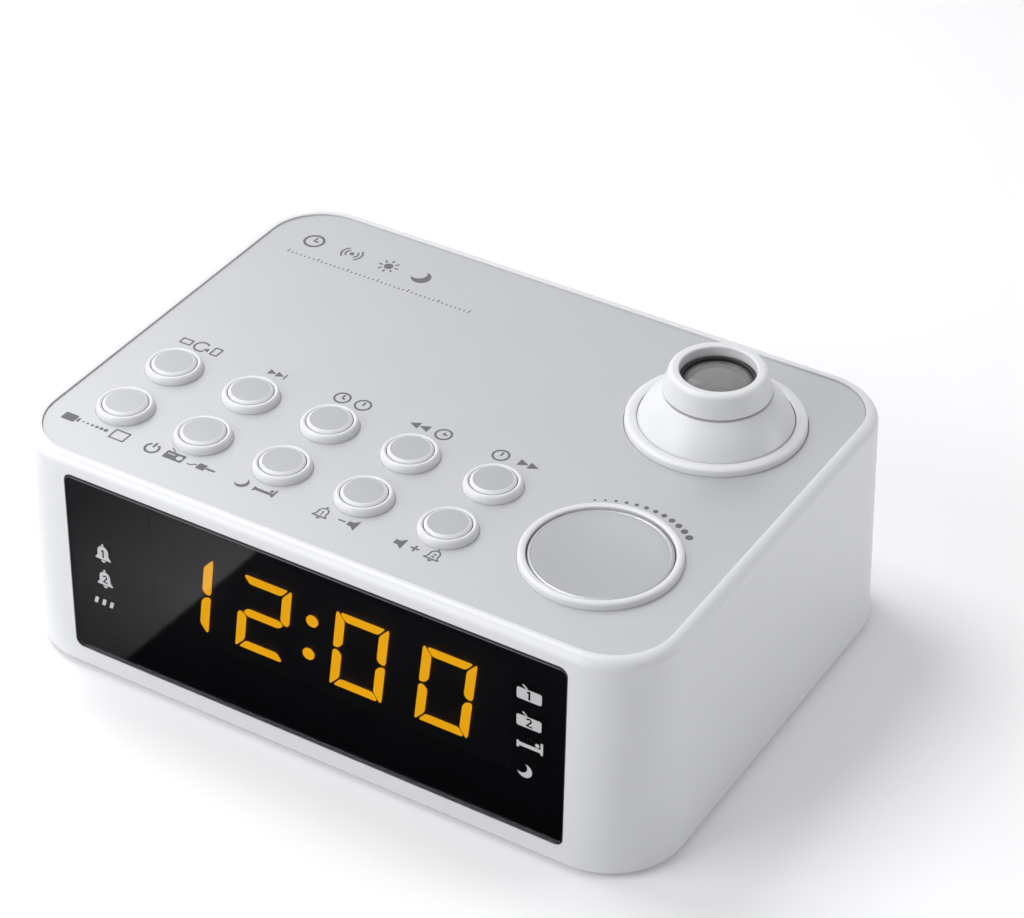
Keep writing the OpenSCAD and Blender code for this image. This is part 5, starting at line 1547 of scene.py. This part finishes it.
minus = [[(-0.9, -0.2), (0.9, -0.2), (0.9, 0.2), (-0.9, 0.2)]]
plus_line = [(-0.2, -0.9), (0.2, -0.9), (0.2, -0.2), (0.9, -0.2), (0.9, 0.2), (0.2, 0.2), (0.2, 0.9),
             (-0.2, 0.9), (-0.2, 0.2), (-0.9, 0.2), (-0.9, -0.2), (-0.2, -0.2)]
turn_arrow = [[stroke(arc(0, 0, 2.1, 40, 320, 24), 0.6)], [[(1.0, -0.7), (2.9, -1.5), (2.5, 0.35)]]]


def screen_sign(half_w, half_h, x, y):
    """The outline of a picture on a wall, about a place."""
    frame_line = round_corner_ring(half_w, half_h, 0.3, 3)
    return moved_to([frame_line, round_corner_ring(half_w - 0.5, half_h - 0.5, 0.15, 3)], x, y)


turn_sign = turn_arrow + [screen_sign(1.9, 1.35, -5.0, 0), screen_sign(1.35, 1.9, 4.9, 0)]
beam = [[round_corner_ring(2.1, 1.5, 0.4, 4)], [[(2.35, -0.55), (3.2, -1.0), (3.2, 1.0), (2.35, 0.55)]]]
beam += [[disc(4.4 + 1.5 * k, 0, 0.3 + 0.07 * k, 16)] for k in range(6)]
beam += [screen_sign(2.5, 2.1, 16.4, 0)]


def printed(name, shapes, place, lift, material):
    """Closed prisms of ink. place(x, y, h) gives a point of the carrier's surface, h above it."""
    bm = bmesh.new()
    for shape in shapes:
        edges = [[], []]
        for loop in shape:
            rings = [add_ring(bm, [place(x, y, h) for x, y in loop]) for h in (-0.01, lift)]
            bridge(bm, rings)
            for held, ring in zip(edges, rings):
                held += ring_edges(bm, ring)
        for held in edges:
            fill(bm, held)
    return make_piece(name, bm, "cabinet_group", material, sharp=30)


def on_plate(x, y, h):
    """A place on the silver plate."""
    return Vector((x, y, plate_top + h))


def on_pane(x, y, h):
    """A place on the pane's front."""
    return on_front(x, pane_front - h, y)


grey_ink = moulded("grey_ink", (0.10, 0.102, 0.11), grains=4000.0, roughness=0.5, drift=0.1, mottle=0.2)
pale_ink = moulded("pale_ink", (0.50, 0.50, 0.51), grains=4000.0, roughness=0.5, drift=0.1, mottle=0.1)
ink_t = 0.03


def signs(*places):
    """The shapes of pictograms, each given by its place, itself and its scale."""
    return [moved_to(shape, x, y, scale) for x, y, icon, scale in places for shape in icon]


back_row, front_row = -9.3, -54.3
key_signs = signs(
    (-76.2, back_row, turn_sign, 1.0), (-51.5, back_row, play_next, 1.0),
    (-29.8, back_row, clock_face(hands), 1.0),
    (-23.2, back_row, clock_face([(0, 1.4), (0, -0.2)]), 1.0), (-5.2, back_row, back, 1.2),
    (2.3, back_row, clock_face([(0, 0.9), (0, 0), (1.1, 0)]), 1.0),
    (20.0, back_row, clock_face([(0, 1.5), (0, -0.2)]), 1.0), (28.5, back_row, forward, 1.2),
    (-86.5, front_row, beam, 1.0), (-59.5, front_row, power, 1.0),
    (-52.3, front_row, radio_front, 1.0), (-43.6, front_row, plug_shape, 1.0),
    (-30.7, front_row, thin_moon, 0.95), (-23.6, front_row, bed, 0.85),
    (-5.7, front_row, outline_bell(one), 0.9), (0.4, front_row, [minus], 1.25),
    (4.4, front_row, [[horn]], 1.4), (18.6, front_row, [[horn]], 1.4),
    (22.4, front_row, [[plus_line]], 1.4), (28.0, front_row, outline_bell(two), 0.9))
dots_r, dots, dot_turn = 23.9, 12, 6.6
for k, (x, y) in enumerate(arc(*snooze_place, dots_r, 124, 124 - (dots - 1) * dot_turn, dots - 1)):
    key_signs.append([disc(x, y, 0.32 + 0.065 * k, 18)])
printed("key_signs", key_signs, on_plate, ink_t, grey_ink)

# Behind the keys a clock, radio waves, rays of light and a moon stand over a tuning scale.
waves = [[disc(0, 0, 0.7, 20)]]
for r in (1.8, 3.0):
    waves += [[stroke(arc(0, 0, r, -50, 50, 12), 0.5)], [stroke(arc(0, 0, r, 130, 230, 12), 0.5)]]
rays = [[disc(0, 0, 1.3, 24)]]
rays += [[stroke([start, end], 0.5)] for start, end in zip(disc(0, 0, 1.9, 8), disc(0, 0, 3.0, 8))]
sign_row, scale_foot = 51.5, 43.0
row_signs = signs(
    (-80.5, sign_row, clock_face([(0, 1.5), (0, 0), (1.1, 0)], 0.45), 1.3),
    (-67.5, sign_row, waves, 1.05), (-55.0, sign_row, rays, 1.05), (-44.0, sign_row, moon, 1.25))
scale_start, scale_pitch, marks, mark_half = -84.0, 1.45, 43, 0.17
for k in range(marks):
    x, high = scale_start + k * scale_pitch, scale_foot + (1.5 if k % 7 == 0 else 0.8)
    row_signs.append([[(x - mark_half, scale_foot), (x + mark_half, scale_foot), (x + mark_half, high),
                       (x - mark_half, high)]])
printed("row_signs", row_signs, on_plate, ink_t, grey_ink)

pane_signs = signs(
    (-65.3, 42.1 - window_z, bell(one), 1.0), (-65.2, 33.7 - window_z, bell(two), 1.0),
    (66.0, 51.4 - window_z, badge(one), 1.0), (66.1, 42.9 - window_z, badge(two), 1.0),
    (66.5, 35.8 - window_z, bed, 1.0), (65.2, 27.2 - window_z, moon, 0.92))
for x in (-68.6, -66.1, -63.6):
    y = 25.8 - window_z
    pane_signs.append([[(x - 0.75, y - 1.0), (x + 0.35, y - 1.0), (x + 0.95, y + 1.0),
                        (x - 0.15, y + 1.0)]])
printed("pane_signs", pane_signs, on_pane, ink_t, pale_ink)
